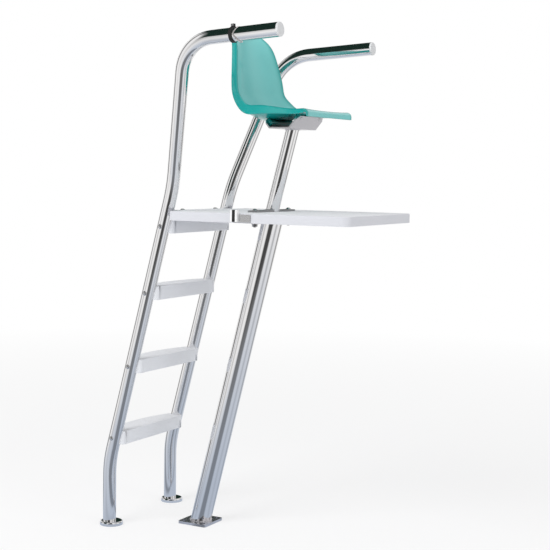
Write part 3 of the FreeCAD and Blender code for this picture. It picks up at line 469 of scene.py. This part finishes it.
def build_groups():
    """Makes each shared effect once."""
    for name, maker in (("Colour drift", drift_group), ("Moulded grain", grain_group),
                        ("Fine scratches", scratch_group), ("Studio walls", wall_group)):
        if name not in bpy.data.node_groups:
            maker(name)


# Materials

def empty_tree(owner):
    """The empty node tree of a material or a world, with the shared effects at hand."""
    build_groups()
    owner.use_nodes = True
    owner.node_tree.nodes.clear()
    return owner.node_tree


def blank_material(name):
    """A material with a shader, an output and object coordinates."""
    material = bpy.data.materials.new(name)
    tree = empty_tree(material)
    shader = put(tree, "ShaderNodeBsdfPrincipled")
    put(tree, "ShaderNodeOutputMaterial", {"Surface": shader.outputs["BSDF"]})
    place = put(tree, "ShaderNodeTexCoord").outputs["Object"]
    return material, tree, shader, place


def bump(tree, shader, height, distance, strength):
    """Feeds a height to the shader's normal."""
    node = put(tree, "ShaderNodeBump", {"Height": height, "Distance": distance, "Strength": strength})
    feed(tree, shader.inputs["Normal"], node.outputs["Normal"])


def drifting_colour(tree, shader, place, colour, scale, amount):
    """Gives a shader a colour that changes slowly, and returns the mask of the change."""
    drift = use_group(tree, "Colour drift", Vector=place, Colour=colour, Scale=scale, Amount=amount)
    feed(tree, shader.inputs["Base Color"], drift.outputs["Colour"])
    return drift.outputs["Mask"]


def set_dullness(tree, shader, mask, start, end):
    """Dullness of a shader from one value to another by a mask."""
    feed(tree, shader.inputs["Roughness"], ramp(tree, mask, start=start, end=end))


def grain_height(tree, place, scale):
    """Height of the moulded grain."""
    return use_group(tree, "Moulded grain", Vector=place, Scale=scale).outputs["Height"]


def steel_material(name, colour, dullness, scratch):
    """Bare stainless steel with faint, duller scratches."""
    material, tree, shader, place = blank_material(name)
    drifting_colour(tree, shader, place, colour, scale=9.0, amount=0.06)
    shader.inputs["Metallic"].default_value = 1.0
    lines = use_group(tree, "Fine scratches", Vector=place, Scale=70.0).outputs["Mask"]
    set_dullness(tree, shader, lines, dullness, dullness + scratch)
    bump(tree, shader, lines, distance=0.0002, strength=0.10)
    return material


def plastic_material(name, colour, dullness, grain_scale, grain_depth=0.0002):
    """Moulded plastic with a fine grain, a little duller or clearer in places."""
    material, tree, shader, place = blank_material(name)
    cloud = drifting_colour(tree, shader, place, colour, scale=5.0, amount=0.04)
    set_dullness(tree, shader, cloud, start=dullness - 0.05, end=dullness + 0.07)
    bump(tree, shader, grain_height(tree, place, grain_scale), grain_depth, strength=0.5)
    return material


def seat_material(plastic):
    """Glossy teal moulding, painted paler on the inner side that faces up and forward as painted
    sheen, and darker elsewhere as painted shade.
    """
    material, tree, shader, place = blank_material("seat_moulding")
    normal = put(tree, "ShaderNodeNewGeometry").outputs["Normal"]
    # Painted sheen: the inner side that faces up and forward gets the paler teal, the rest the darker,
    # shaded one
    sheen_facing = ramp(tree, dot(tree, normal, SHEEN_WAY), low=0.15, high=0.85)
    inner = put(tree, "ShaderNodeAttribute", attribute_name="inner").outputs["Fac"]
    painted_sheen = math_node(tree, "MULTIPLY", sheen_facing, inner)
    both = mix_colour(tree, painted_sheen, plastic.seat_shaded_colour, plastic.seat_sheen_colour)
    cloud = drifting_colour(tree, shader, place, both, scale=7.0, amount=0.10)
    set_dullness(tree, shader, cloud, start=0.16, end=0.30)
    shader.inputs["Coat Weight"].default_value = 0.3
    shader.inputs["Coat Roughness"].default_value = 0.06
    finer = grain_height(tree, place, plastic.grain_scale * 2)
    bump(tree, shader, finer, distance=0.0002, strength=0.25)
    return material


def walking_material(name, shaded_side_colour, lit_top_colour, grain_scale):
    """White moulding whose upper side has a coarser walking grain with darker specks, and is painted
    lighter than the sides: painted light on the top and painted shade on the sides.
    """
    material, tree, shader, place = blank_material(name)
    normal = put(tree, "ShaderNodeNewGeometry").outputs["Normal"]
    split = put(tree, "ShaderNodeSeparateXYZ", {0: normal})
    # Level faces get the lit top colour and the rest the shaded side colour: painted light and shade
    level = ramp(tree, split.outputs["Z"], low=0.90, high=0.98)
    specks = noise(tree, place, grain_scale * SPECK_SCALE).outputs["Fac"]
    sanded = mix_colour(tree, ramp(tree, specks, low=0.35, high=0.65),
                        [part * SPECK_SHADE for part in lit_top_colour], lit_top_colour)
    both = mix_colour(tree, level, shaded_side_colour, sanded)
    drifting_colour(tree, shader, place, both, scale=4.0, amount=0.05)
    deeper = math_node(tree, "ADD", level, SIDE_GRAIN)
    height = math_node(tree, "MULTIPLY", grain_height(tree, place, grain_scale), deeper)
    set_dullness(tree, shader, level, start=0.34, end=0.72)
    bump(tree, shader, height, distance=0.0012, strength=0.6)
    return material


def dress(names, material):
    """Gives CAD nodes a material."""
    for name in names:
        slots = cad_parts[name].data.materials
        slots.clear()
        slots.append(material)


# Small parts

def show(name, data):
    """A new object in the scene."""
    thing = bpy.data.objects.new(name, data)
    bpy.context.scene.collection.objects.link(thing)
    return thing


def mesh_of(name, shape):
    """A mesh from a bmesh, which it frees."""
    mesh = bpy.data.meshes.new(name)
    shape.to_mesh(mesh)
    shape.free()
    return mesh


def finish_piece(name, mesh, material):
    """Makes a mesh a smooth piece of the chair."""
    mesh.materials.append(material)
    for face in mesh.polygons:
        face.use_smooth = True
    piece = show(name, mesh)
    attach(piece, BODY)
    return piece


def give_wall(piece, thickness, levels):
    """Gives a sheet its wall behind it and rounds the wall's edges."""
    wall = piece.modifiers.new("wall", "SOLIDIFY")
    wall.thickness = thickness
    wall.offset = -1.0
    wall.use_even_offset = True
    smooth = piece.modifiers.new("smooth", "SUBSURF")
    smooth.levels = levels
    smooth.render_levels = levels


def rod_mesh(name, points, radii, closed):
    """A round rod through points, with a radius at each."""
    line = bpy.data.curves.new(name, "CURVE")
    line.dimensions = "3D"
    line.bevel_depth = 1.0
    line.bevel_resolution = 4
    line.use_fill_caps = not closed
    spline = line.splines.new("POLY")
    spline.points.add(len(points) - 1)
    for target, point, radius in zip(spline.points, points, radii):
        target.co = (*point, 1.0)
        target.radius = radius
    spline.use_cyclic_u = closed
    rod = bpy.data.objects.new(name, line)
    mesh = bpy.data.meshes.new_from_object(rod)
    bpy.data.objects.remove(rod)
    bpy.data.curves.remove(line)
    return mesh


def blend(value, low, high):
    """Smooth change from low to high as a value goes from 0 to 1."""
    value = min(max(value, 0.0), 1.0)
    return low + (high - low) * value * value * (3 - 2 * value)


def seat_form(seat, stretch, along):
    """Width and dish of the seat at a share of one stretch of its path."""
    narrowing = seat.shoulder_width - seat.top_width
    if stretch in ("drop", "lip"):
        return seat.front_width, seat.front_dish
    if stretch == "pan":
        return (blend(along, seat.front_width, seat.bowl_width),
                blend(along, seat.front_dish, seat.pan_dish))
    if stretch == "bowl":
        return (blend(along, seat.bowl_width, seat.waist_width),
                blend(along / BOWL_DISHED, seat.pan_dish, seat.bowl_dish))
    if stretch == "back":
        corner = (max(along - CORNER_START, 0.0) / (1 - CORNER_START)) ** CORNER_POWER
        width = blend(along, seat.waist_width, seat.shoulder_width)
        dish = blend(along, seat.bowl_dish, seat.back_dish)
        return (width - narrowing * (1 - math.sqrt(1 - CORNER_TURN * corner)),
                dish - (seat.back_dish - seat.top_dish) * corner)
    start = seat.shoulder_width - narrowing * (1 - math.sqrt(1 - CORNER_TURN))
    return (start + (seat.crest_width - start) * along,
            seat.top_dish + (seat.front_dish - seat.top_dish) * along)


def seat_edge(seat, stretch, along):
    """Depth of the seat's skirt and the share of its side's full roll."""
    if stretch == "pan":
        hip = blend((along - HIP_START) / (1 - HIP_START), 0.0, 1.0)
        return seat.skirt + seat.hip_skirt * hip, 1.0
    if stretch == "bowl":
        return seat.skirt + seat.hip_skirt * blend(along, 1.0, HIP_LEFT), 1.0
    if stretch == "back":
        hip = blend(along / HIP_END, HIP_LEFT, 0.0)
        left = blend((along - NARROW_START) / (1 - NARROW_START), 1.0, NARROW_LEFT)
        return (seat.skirt + seat.hip_skirt * hip) * left, 1.0
    if stretch == "top":
        return seat.skirt * NARROW_LEFT * (1.0 - along), 1.0 - CREST_FLAT * along
    if stretch == "lip":
        return seat.skirt * blend(along, FRONT_EDGE, 1.0), blend(along, FRONT_ROLL, 1.0)
    return seat.skirt * FRONT_EDGE, FRONT_ROLL


def seat_rows(seat):
    """Middle point, heading, width, dish, skirt and roll of each row, from lip to crest."""
    turns = {"lip": -(math.pi / 2 + seat.pan_fall),
             "bowl": math.pi / 2 - seat.back_lean + seat.pan_fall, "top": -seat.crest_turn}
    reach = {"drop": seat.lip_drop, "lip": seat.lip_radius * -turns["lip"],
             "pan": seat.pan_length, "bowl": seat.bowl_radius * turns["bowl"],
             "back": seat.back_length, "top": seat.lip_radius * seat.crest_turn}
    heading = math.pi / 2
    point = Vector((0.0, -seat.front_reach, seat.front_height - seat.lip_radius - seat.lip_drop))
    rows = [(point.copy(), heading, *seat_form(seat, "drop", 0.0), *seat_edge(seat, "drop", 0.0))]
    for stretch, steps in SEAT_ROWS:
        half_turn = turns.get(stretch, 0.0) / steps / 2
        for step in range(steps):
            heading += half_turn
            point += Vector((0.0, math.cos(heading), math.sin(heading))) * (reach[stretch] / steps)
            heading += half_turn
            along = (step + 1) / steps
            rows.append((point.copy(), heading, *seat_form(seat, stretch, along),
                         *seat_edge(seat, stretch, along)))
    for _ in range(SEAT_SMOOTHING):
        eased = [tuple((before + 2 * here + after) / 4 for before, here, after in zip(
                 rows[k - 1][2:], rows[k][2:], rows[k + 1][2:])) for k in range(1, len(rows) - 1)]
        rows[1:-1] = [(row[0], row[1], *form) for row, form in zip(rows[1:-1], eased)]
    return rows


def seat_across(seat, width, dish, skirt, roll, share_out):
    """Place across the seat and above its middle line, at a share of the way out to its edge."""
    crest = width / 2 - seat.rim_radius
    if share_out <= SEAT_DISHED:
        out = share_out / SEAT_DISHED
        return crest * out, dish * out ** SEAT_POWER
    slope = math.atan(SEAT_POWER * dish / crest)
    rolled = min((share_out - SEAT_DISHED) / (SEAT_ROLLED - SEAT_DISHED), 1.0)
    turned = slope - rolled * (slope + seat.rim_turn) * roll
    across = crest + seat.rim_radius * (math.sin(slope) - math.sin(turned))
    above = dish + seat.rim_radius * (math.cos(turned) - math.cos(slope))
    edge = max(share_out - SEAT_ROLLED, 0.0) / (1 - SEAT_ROLLED) * skirt
    return across + edge * math.cos(turned), above + edge * math.sin(turned)


def seat_sheet(seat):
    """The seat's upper face as a sheet."""
    rows = seat_rows(seat)
    shape = bmesh.new()
    bmesh.ops.create_grid(shape, x_segments=SEAT_ACROSS, y_segments=len(rows) - 1, size=1.0)
    # The inner layer marks where the painted sheen may go, fading out towards the rim
    inner = shape.verts.layers.float.new("inner")
    for corner in shape.verts:
        corner[inner] = 1 - blend((abs(corner.co.x) - SEAT_DISHED) / SEAT_INNER_FADE + 0.5, 0, 1)
        point, heading, *form = rows[round((corner.co.y + 1) / 2 * (len(rows) - 1))]
        across, above = seat_across(seat, *form, abs(corner.co.x))
        upward = Vector((0.0, -math.sin(heading), math.cos(heading)))
        corner.co = point + upward * above + Vector((math.copysign(across, corner.co.x), 0.0, 0.0))
    return shape


def rib_mesh(name, seat, sheet, side):
    """The face of a rib along a flange of the bracket, from below its edge up into the shell."""
    lean = math.radians(BRACKET_LEAN)
    upwards = Vector((0.0, side * math.sin(lean), math.cos(lean)))
    foot = Vector((0.0, BRACKET_MIDDLE + side * BRACKET_FLOOR / 2,
                   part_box("seat_bracket")[0].z + BRACKET_WALL))
    start = foot + upwards * (FLANGE_LENGTHS[side] - seat.rib_height)
    shape = bmesh.new()
    bmesh.ops.create_grid(shape, x_segments=RIB_STEPS, y_segments=1, size=1.0)
    for corner in shape.verts:
        point = start + Vector((corner.co.x * seat.rib_length / 2, 0.0, 0.0))
        if corner.co.y > 0.0:
            hit, normal, _, distance = sheet.ray_cast(point, upwards)
            if hit is None:
                raise RuntimeError("A rib misses the seat")
            slant = normal.angle(upwards)
            corner_rise = seat.rib_thickness * math.tan(min(slant, math.pi - slant))
            point += upwards * (distance - seat.wall / 2 - corner_rise)
        corner.co = point
    if side > 0:
        bmesh.ops.reverse_faces(shape, faces=shape.faces)
    return mesh_of(name, shape)


def tread_mesh(name, low, high, treads):
    """A moulded tread in its box: bowed outer edge, rounded corners and a hollow underside."""
    shape = bmesh.new()
    bmesh.ops.create_grid(shape, x_segments=TREAD_STEPS, y_segments=1, size=1.0)
    half = (high.x - low.x) / 2
    for corner in shape.verts:
        across = corner.co.x * half
        sag = treads.bow - math.sqrt(treads.bow ** 2 - across ** 2)
        corner.co = (across, high.y - sag if corner.co.y > 0.0 else low.y, high.z)
    pulled = bmesh.ops.extrude_face_region(shape, geom=shape.faces[:])["geom"]
    lowered = [part for part in pulled if isinstance(part, bmesh.types.BMVert)]
    bmesh.ops.translate(shape, verts=lowered, vec=(0.0, 0.0, low.z - high.z))
    bmesh.ops.recalc_face_normals(shape, faces=shape.faces)

    def bevel(edges, offset, segments):
        bmesh.ops.bevel(shape, geom=edges, offset=offset, affect="EDGES", segments=segments,
                        profile=0.5, clamp_overlap=True)
        shape.normal_update()

    def outline(height):
        return [edge for edge in shape.edges
                if all(abs(end.co.z - height) < SAME_PLACE for end in edge.verts)
                and any(abs(face.normal.z) < SIDE_SLOPE for face in edge.link_faces)]

    upright = [edge for edge in shape.edges
               if abs(edge.verts[0].co.z - edge.verts[1].co.z) > SAME_PLACE
               and all(abs(abs(end.co.x) - half) < SAME_PLACE for end in edge.verts)]
    bevel(upright, treads.corner, CORNER_STEPS)
    bevel(outline(high.z), treads.nose, NOSE_STEPS)
    bevel(outline(low.z), treads.lip, LIP_STEPS)
    room = half * (1 - 2 * TREAD_END_STEPS / TREAD_STEPS)
    flat = [face for face in shape.faces
            if face.normal.z < -LEVEL_SLOPE and abs(face.calc_center_median().x) < room]
    bmesh.ops.inset_region(shape, faces=flat, thickness=treads.wall - treads.lip,
                           use_even_offset=True, use_boundary=True)
    bmesh.ops.inset_region(shape, faces=flat, thickness=treads.draft, use_even_offset=True,
                           depth=-(high.z - low.z - treads.roof))
    bmesh.ops.recalc_face_normals(shape, faces=shape.faces)
    return mesh_of(name, shape)


def bead_points(centre, radius, middle, reach, count):
    """Points round the level section of a leaning tube, as far each way of the middle one."""
    turns = (middle - reach + 2 * reach * k / count for k in range(count))
    return [Vector(centre) + Vector((math.cos(turn), math.sin(turn) * LEAN_STRETCH, 0.0)) * radius
            for turn in turns]


def turned_mesh(name, profile, place):
    """A solid of revolution about an upright axis, from radii and heights above a place."""
    shape = bmesh.new()
    points = [shape.verts.new((radius, 0.0, height)) for radius, height in profile]
    edges = [shape.edges.new(pair) for pair in zip(points, points[1:])]
    bmesh.ops.spin(shape, geom=points + edges, axis=(0.0, 0.0, 1.0), angle=math.tau,
                   steps=TURNED_STEPS, use_merge=True)
    bmesh.ops.remove_doubles(shape, verts=shape.verts, dist=SAME_PLACE)
    bmesh.ops.recalc_face_normals(shape, faces=shape.faces)
    bmesh.ops.translate(shape, verts=shape.verts, vec=place)
    return mesh_of(name, shape)


def screw_profile(screw):
    """Half outline of a round-headed screw with a round recess, from its stem's end up."""
    dome = [(screw.head * math.cos(turn), screw.dome * math.sin(turn))
            for turn in (math.pi / 2 * k / DOME_STEPS for k in range(DOME_STEPS))]
    dome = [point for point in dome if point[0] > screw.socket]
    rim = screw.dome * math.sqrt(1 - (screw.socket / screw.head) ** 2)
    return [(0.0, -screw.depth), (screw.stem, -screw.depth), (screw.stem, 0.0), *dome,
            (screw.socket, rim), (screw.socket * SOCKET_FLOOR, rim * SOCKET_EDGE),
            (0.0, rim * SOCKET_MIDDLE)]


def clip_loop(clip):
    """The bent rod round the arm beside the clip, which runs ahead above and below the arm."""
    low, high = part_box("arm_clip")
    ring = (high.x - low.x) / 2 - CLIP_WALL
    middle = Vector(((low.x + high.x) / 2, (low.y + high.y) / 2 - clip.lead,
                     low.z + CLIP_WALL + ring))
    reach = ring + clip.rod * ROD_PROUD
    points = []
    for step in range(LOOP_STEPS):
        turn = math.tau * step / LOOP_STEPS
        ahead = abs(math.sin(turn)) * (clip.upper_lead if turn < math.pi else clip.lower_lead)
        points.append(middle + Vector((-reach * math.cos(turn), -ahead, reach * math.sin(turn))))
    return rod_mesh("clip_loop", points, [clip.rod] * LOOP_STEPS, closed=True)


# Stage

def add_camera(stage):
    """The camera at the photo's place."""
    data = bpy.data.cameras.new("camera")
    data.sensor_width = SENSOR_WIDTH
    data.lens = stage.focal_pixels / IMAGE_SIDE * SENSOR_WIDTH
    camera = show("camera", data)
    camera.matrix_world = (Matrix.Translation(Vector(stage.camera_place))
                           @ Matrix.Rotation(-stage.camera_yaw, 4, "Z")
                           @ Matrix.Rotation(math.pi / 2 + stage.camera_pitch, 4, "X")
                           @ Matrix.Rotation(stage.camera_roll, 4, "Z"))
    bpy.context.scene.camera = camera


def add_light(name, place, power):
    """A large square light that looks at the chair and shows in no reflection."""
    data = bpy.data.lights.new(name, "AREA")
    data.shape = "SQUARE"
    data.size = LIGHT_SIDE
    data.energy = power
    light = show(name, data)
    look = (Vector(LIGHT_TARGET) - Vector(place)).to_track_quat("-Z", "Y")
    light.matrix_world = Matrix.Translation(Vector(place)) @ look.to_matrix().to_4x4()
    light.visible_glossy = False


def times(tree, colour, level):
    """A colour scaled by a level socket."""
    return put(tree, "ShaderNodeVectorMath", {0: colour, "Scale": level}, operation="SCALE").outputs[0]


def glow(tree, colour):
    """An even light of a colour."""
    return put(tree, "ShaderNodeEmission", {"Color": colour}).outputs[0]


def backdrop(tree, colour, strength=1.0):
    """A background of a colour."""
    return put(tree, "ShaderNodeBackground", {"Color": colour, "Strength": strength}).outputs[0]


def choose(tree, factor, first, second):
    """Mixes two shaders."""
    return put(tree, "ShaderNodeMixShader", {0: factor, 1: first, 2: second}).outputs[0]


def floor_material(stage):
    """Pale floor that meets the white background and keeps the shadow."""
    material = bpy.data.materials.new("pale_floor")
    tree = empty_tree(material)
    place = put(tree, "ShaderNodeTexCoord").outputs["Object"]
    distance = put(tree, "ShaderNodeVectorMath", {0: place}, operation="LENGTH").outputs["Value"]
    matt = put(tree, "ShaderNodeBsdfDiffuse", {"Color": stage.floor_colour}).outputs[0]
    far = ramp(tree, distance, low=0.3, high=3.4)
    walls = use_group(tree, "Studio walls", Vector=place, Far=far)
    # Darker near the chair: painted shadow of the chair in the floor's reflection
    tint = mix_colour(tree, far, stage.mirrored_near, stage.mirrored_wall)
    mirrored = glow(tree, times(tree, tint, walls.outputs["Level"]))
    hidden = ramp(tree, distance, low=1.5, high=6.0, start=1.0 - stage.shadow_share)
    seen = choose(tree, hidden, matt, glow(tree, WHITE))
    path = put(tree, "ShaderNodeLightPath").outputs
    surface = choose(tree, path["Is Camera Ray"], matt, seen)
    surface = choose(tree, path["Is Glossy Ray"], surface, mirrored)
    put(tree, "ShaderNodeOutputMaterial", {"Surface": surface})
    return material


def add_floor(stage):
    """The floor plane below the feet."""
    shape = bmesh.new()
    bmesh.ops.create_grid(shape, x_segments=1, y_segments=1, size=stage.floor_side / 2)
    mesh = mesh_of("floor", shape)
    mesh.materials.append(floor_material(stage))
    floor = show("floor", mesh)


def add_sky(stage):
    """Plain light all round, white for the camera, with the studio in reflections."""
    world = bpy.data.worlds.new("studio")
    bpy.context.scene.world = world
    tree = empty_tree(world)
    way = put(tree, "ShaderNodeTexCoord").outputs["Generated"]
    split = put(tree, "ShaderNodeSeparateXYZ", {0: way}).outputs
    walls = use_group(tree, "Studio walls", Vector=way, Far=1.0)
    aside = math_node(tree, "ABSOLUTE", math_node(tree, "SUBTRACT", split["Y"], BEAM_MIDDLE))
    beam = ramp(tree, aside, BEAM_HALF, BEAM_HALF + BEAM_SOFT, start=1.0, end=0.0)
    above = math_node(tree, "MULTIPLY", ramp(tree, split["Z"], high=0.12), beam)
    lit = times(tree, stage.mirrored_wall, walls.outputs["Level"])
    mirrored = backdrop(tree, mix_colour(tree, above, lit, stage.beam_colour))
    path = put(tree, "ShaderNodeLightPath").outputs
    seen = math_node(tree, "MAXIMUM", path["Is Camera Ray"], path["Is Transmission Ray"])
    light = choose(tree, seen, backdrop(tree, WHITE, stage.sky_strength), backdrop(tree, WHITE))
    light = choose(tree, path["Is Glossy Ray"], light, mirrored)
    put(tree, "ShaderNodeOutputWorld", {"Surface": light})


# Operators

class CHAIR_OT_finish_steel(bpy.types.Operator):
    """Polish the tubes, plates and fasteners, and give the rails' end caps their grey plastic."""
    bl_idname = "chair.finish_steel"
    bl_label = "Finish the steel"

    def execute(self, context):
        metal = context.scene.chair_metal
        dress(TUBES + FLANGES, steel_material("polished_tube", metal.tube_colour,
                                              metal.tube_roughness, scratch=0.05))
        dress(CAPS, plastic_material("end_cap", metal.cap_colour, dullness=0.38, grain_scale=500.0))
        dress(PLATES, steel_material("plate_steel", metal.plate_colour,
                                     metal.plate_roughness, scratch=0.10))
        dress(EARS, steel_material("ear_steel", metal.ear_colour, dullness=0.35, scratch=0.10))
        dress(FASTENERS, steel_material("fastener_steel", metal.fastener_colour,
                                        dullness=0.25, scratch=0.08))
        return {"FINISHED"}


class CHAIR_OT_finish_boards(bpy.types.Operator):
    """Give the boards their white moulding, and the joint its trims and strip."""
    bl_idname = "chair.finish_boards"
    bl_label = "Finish the boards"

    def execute(self, context):
        plastic = context.scene.chair_plastic
        grain = plastic.grain_scale
        dress(BOARDS, walking_material("white_moulding", plastic.board_shaded_side, plastic.lit_walking_top,
                                       grain))
        dress(TRIMS, plastic_material("light_trim", plastic.trim_colour, dullness=0.35,
                                      grain_scale=grain))
        dress(DARK_PARTS, plastic_material("dark_rubber", plastic.strip_colour, dullness=0.55,
                                           grain_scale=grain, grain_depth=0.0003))
        return {"FINISHED"}


class CHAIR_OT_add_treads(bpy.types.Operator):
    """Put the bowed, hollow treads in the place of their plain solids."""
    bl_idname = "chair.add_treads"
    bl_label = "Add the treads"

    def execute(self, context):
        plastic = context.scene.chair_plastic
        material = walking_material("tread_moulding", plastic.tread_shaded_side, plastic.lit_walking_top,
                                    plastic.grain_scale)
        for name in TREADS:
            mesh = tread_mesh(name + "_moulding", *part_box(name), context.scene.chair_treads)
            tread = finish_piece(name + "_moulding", mesh, material)
            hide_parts(name)
        return {"FINISHED"}


class CHAIR_OT_add_seat(bpy.types.Operator):
    """Put the smooth moulded seat with its ribs in the place of its plain solid."""
    bl_idname = "chair.add_seat"
    bl_label = "Add the seat"

    def execute(self, context):
        seat = context.scene.chair_seat
        material = seat_material(context.scene.chair_plastic)
        shape = seat_sheet(seat)
        sheet = BVHTree.FromBMesh(shape)
        mesh = mesh_of("seat_moulding", shape)
        shell = finish_piece("seat_moulding", mesh, material)
        give_wall(shell, seat.wall, 1)
        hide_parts("seat_shell")
        for side, name in ((-1, "seat_rib_front"), (1, "seat_rib_rear")):
            rib = finish_piece(name, rib_mesh(name, seat, sheet, side), material)
            give_wall(rib, seat.rib_thickness, 0)
        return {"FINISHED"}


class CHAIR_OT_add_board_screws(bpy.types.Operator):
    """Set the rear board's screws through the board into the fourth tread."""
    bl_idname = "chair.add_board_screws"
    bl_label = "Add the rear board's screws"

    def execute(self, context):
        screws = context.scene.chair_screws
        low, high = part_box("rear_board_screws")
        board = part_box("rear_board")[1]
        material = steel_material("screw_steel", context.scene.chair_metal.fastener_colour,
                                  dullness=0.22, scratch=0.08)
        for side, across in (("left", high.x - screws.head), ("right", low.x + screws.head)):
            name = "rear_board_screw_" + side
            place = (across, board.y - screws.inset, board.z)
            mesh = turned_mesh(name, screw_profile(screws), place)
            screw = finish_piece(name, mesh, material)
            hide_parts("rear_board_screws")
        return {"FINISHED"}


class CHAIR_OT_add_clip_loop(bpy.types.Operator):
    """Bend the light rod round the arm beside the clip."""
    bl_idname = "chair.add_clip_loop"
    bl_label = "Add the clip's rod"

    def execute(self, context):
        material = steel_material("clip_rod", context.scene.chair_metal.rod_colour,
                                  dullness=0.35, scratch=0.10)
        finish_piece("clip_loop", clip_loop(context.scene.chair_clip), material)
        return {"FINISHED"}


class CHAIR_OT_add_welds(bpy.types.Operator):
    """Lay the weld beads of the pedestal, the post and the bracket."""
    bl_idname = "chair.add_welds"
    bl_label = "Add the weld beads"

    def execute(self, context):
        welds = context.scene.chair_welds
        material = steel_material("weld_bead", context.scene.chair_metal.plate_colour,
                                  dullness=0.30, scratch=0.10)
        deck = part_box("pedestal_base_plate")[1].z
        foot = (0.0, -deck * math.sqrt(LEAN_STRETCH ** 2 - 1), deck)
        top = (0.0, PEDESTAL_TOP_Y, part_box("pedestal_top_plate")[0].z)
        ears = (0.0, POST_FOOT_Y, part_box("post_ear_left")[1].z)
        under = (0.0, BRACKET_MIDDLE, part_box("seat_bracket")[0].z)
        beads = (("weld_foot", foot, PEDESTAL_RADIUS, math.pi, math.pi),
                 ("weld_top", top, PEDESTAL_RADIUS, math.pi, math.pi),
                 ("weld_bracket", under, POST_RADIUS, math.pi, math.pi),
                 ("weld_ear_left", ears, POST_RADIUS, 0.0, EAR_TURN),
                 ("weld_ear_right", ears, POST_RADIUS, math.pi, EAR_TURN))
        for name, centre, radius, middle, reach in beads:
            ripples = welds.ripples * radius / PEDESTAL_RADIUS * reach / math.pi
            points = bead_points(centre, radius, middle, reach, round(ripples * BEAD_POINTS))
            radii = [welds.bead * (1 + welds.ripple_share * math.sin(math.tau * k / BEAD_POINTS))
                     for k in range(len(points))]
            mesh = rod_mesh(name, points, radii, closed=reach == math.pi)
            finish_piece(name, mesh, material)
        return {"FINISHED"}


class CHAIR_OT_set_stage(bpy.types.Operator):
    """Set the camera, the floor and the light."""
    bl_idname = "chair.set_stage"
    bl_label = "Set the stage"

    def execute(self, context):
        stage = context.scene.chair_stage
        add_camera(stage)
        add_floor(stage)
        add_sky(stage)
        for name, place in LIGHT_PLACES.items():
            add_light(name, place, getattr(stage, name + "_power"))
        context.scene.view_settings.view_transform = "Standard"
        return {"FINISHED"}


class CHAIR_PT_parts(bpy.types.Panel):
    """The chair's finishes and stage in the sidebar."""
    bl_label = "Lifeguard chair"
    bl_idname = "CHAIR_PT_parts"
    bl_space_type = "VIEW_3D"
    bl_region_type = "UI"
    bl_category = "Chair"

    def draw(self, context):
        for operator in OPERATORS:
            self.layout.operator(operator.bl_idname)
        for group, kind in PROPERTIES.items():
            for key in kind.__annotations__:
                self.layout.prop(getattr(context.scene, group), key)


PROPERTIES = {"chair_metal": ChairMetal, "chair_plastic": ChairPlastic, "chair_seat": ChairSeat,
              "chair_treads": ChairTreads, "chair_screws": ChairScrews, "chair_clip": ChairClip,
              "chair_welds": ChairWelds, "chair_stage": ChairStage}
OPERATORS = (CHAIR_OT_finish_steel, CHAIR_OT_finish_boards, CHAIR_OT_add_treads,
             CHAIR_OT_add_seat, CHAIR_OT_add_board_screws, CHAIR_OT_add_clip_loop,
             CHAIR_OT_add_welds, CHAIR_OT_set_stage)
CLASSES = (*PROPERTIES.values(), *OPERATORS, CHAIR_PT_parts)


def register():
    """Adds the classes and the scene's settings."""
    for item in CLASSES:
        bpy.utils.register_class(item)
    for key, group in PROPERTIES.items():
        setattr(bpy.types.Scene, key, PointerProperty(type=group))


def unregister():
    """Takes the settings and the classes away."""
    for key in PROPERTIES:
        delattr(bpy.types.Scene, key)
    for item in reversed(CLASSES):
        bpy.utils.unregister_class(item)


def main():
    """Finishes the chair and sets the stage."""
    register()
    for operator in OPERATORS:
        group, action = operator.bl_idname.split(".")
        getattr(getattr(bpy.ops, group), action)()


if __name__ == "__main__":
    main()
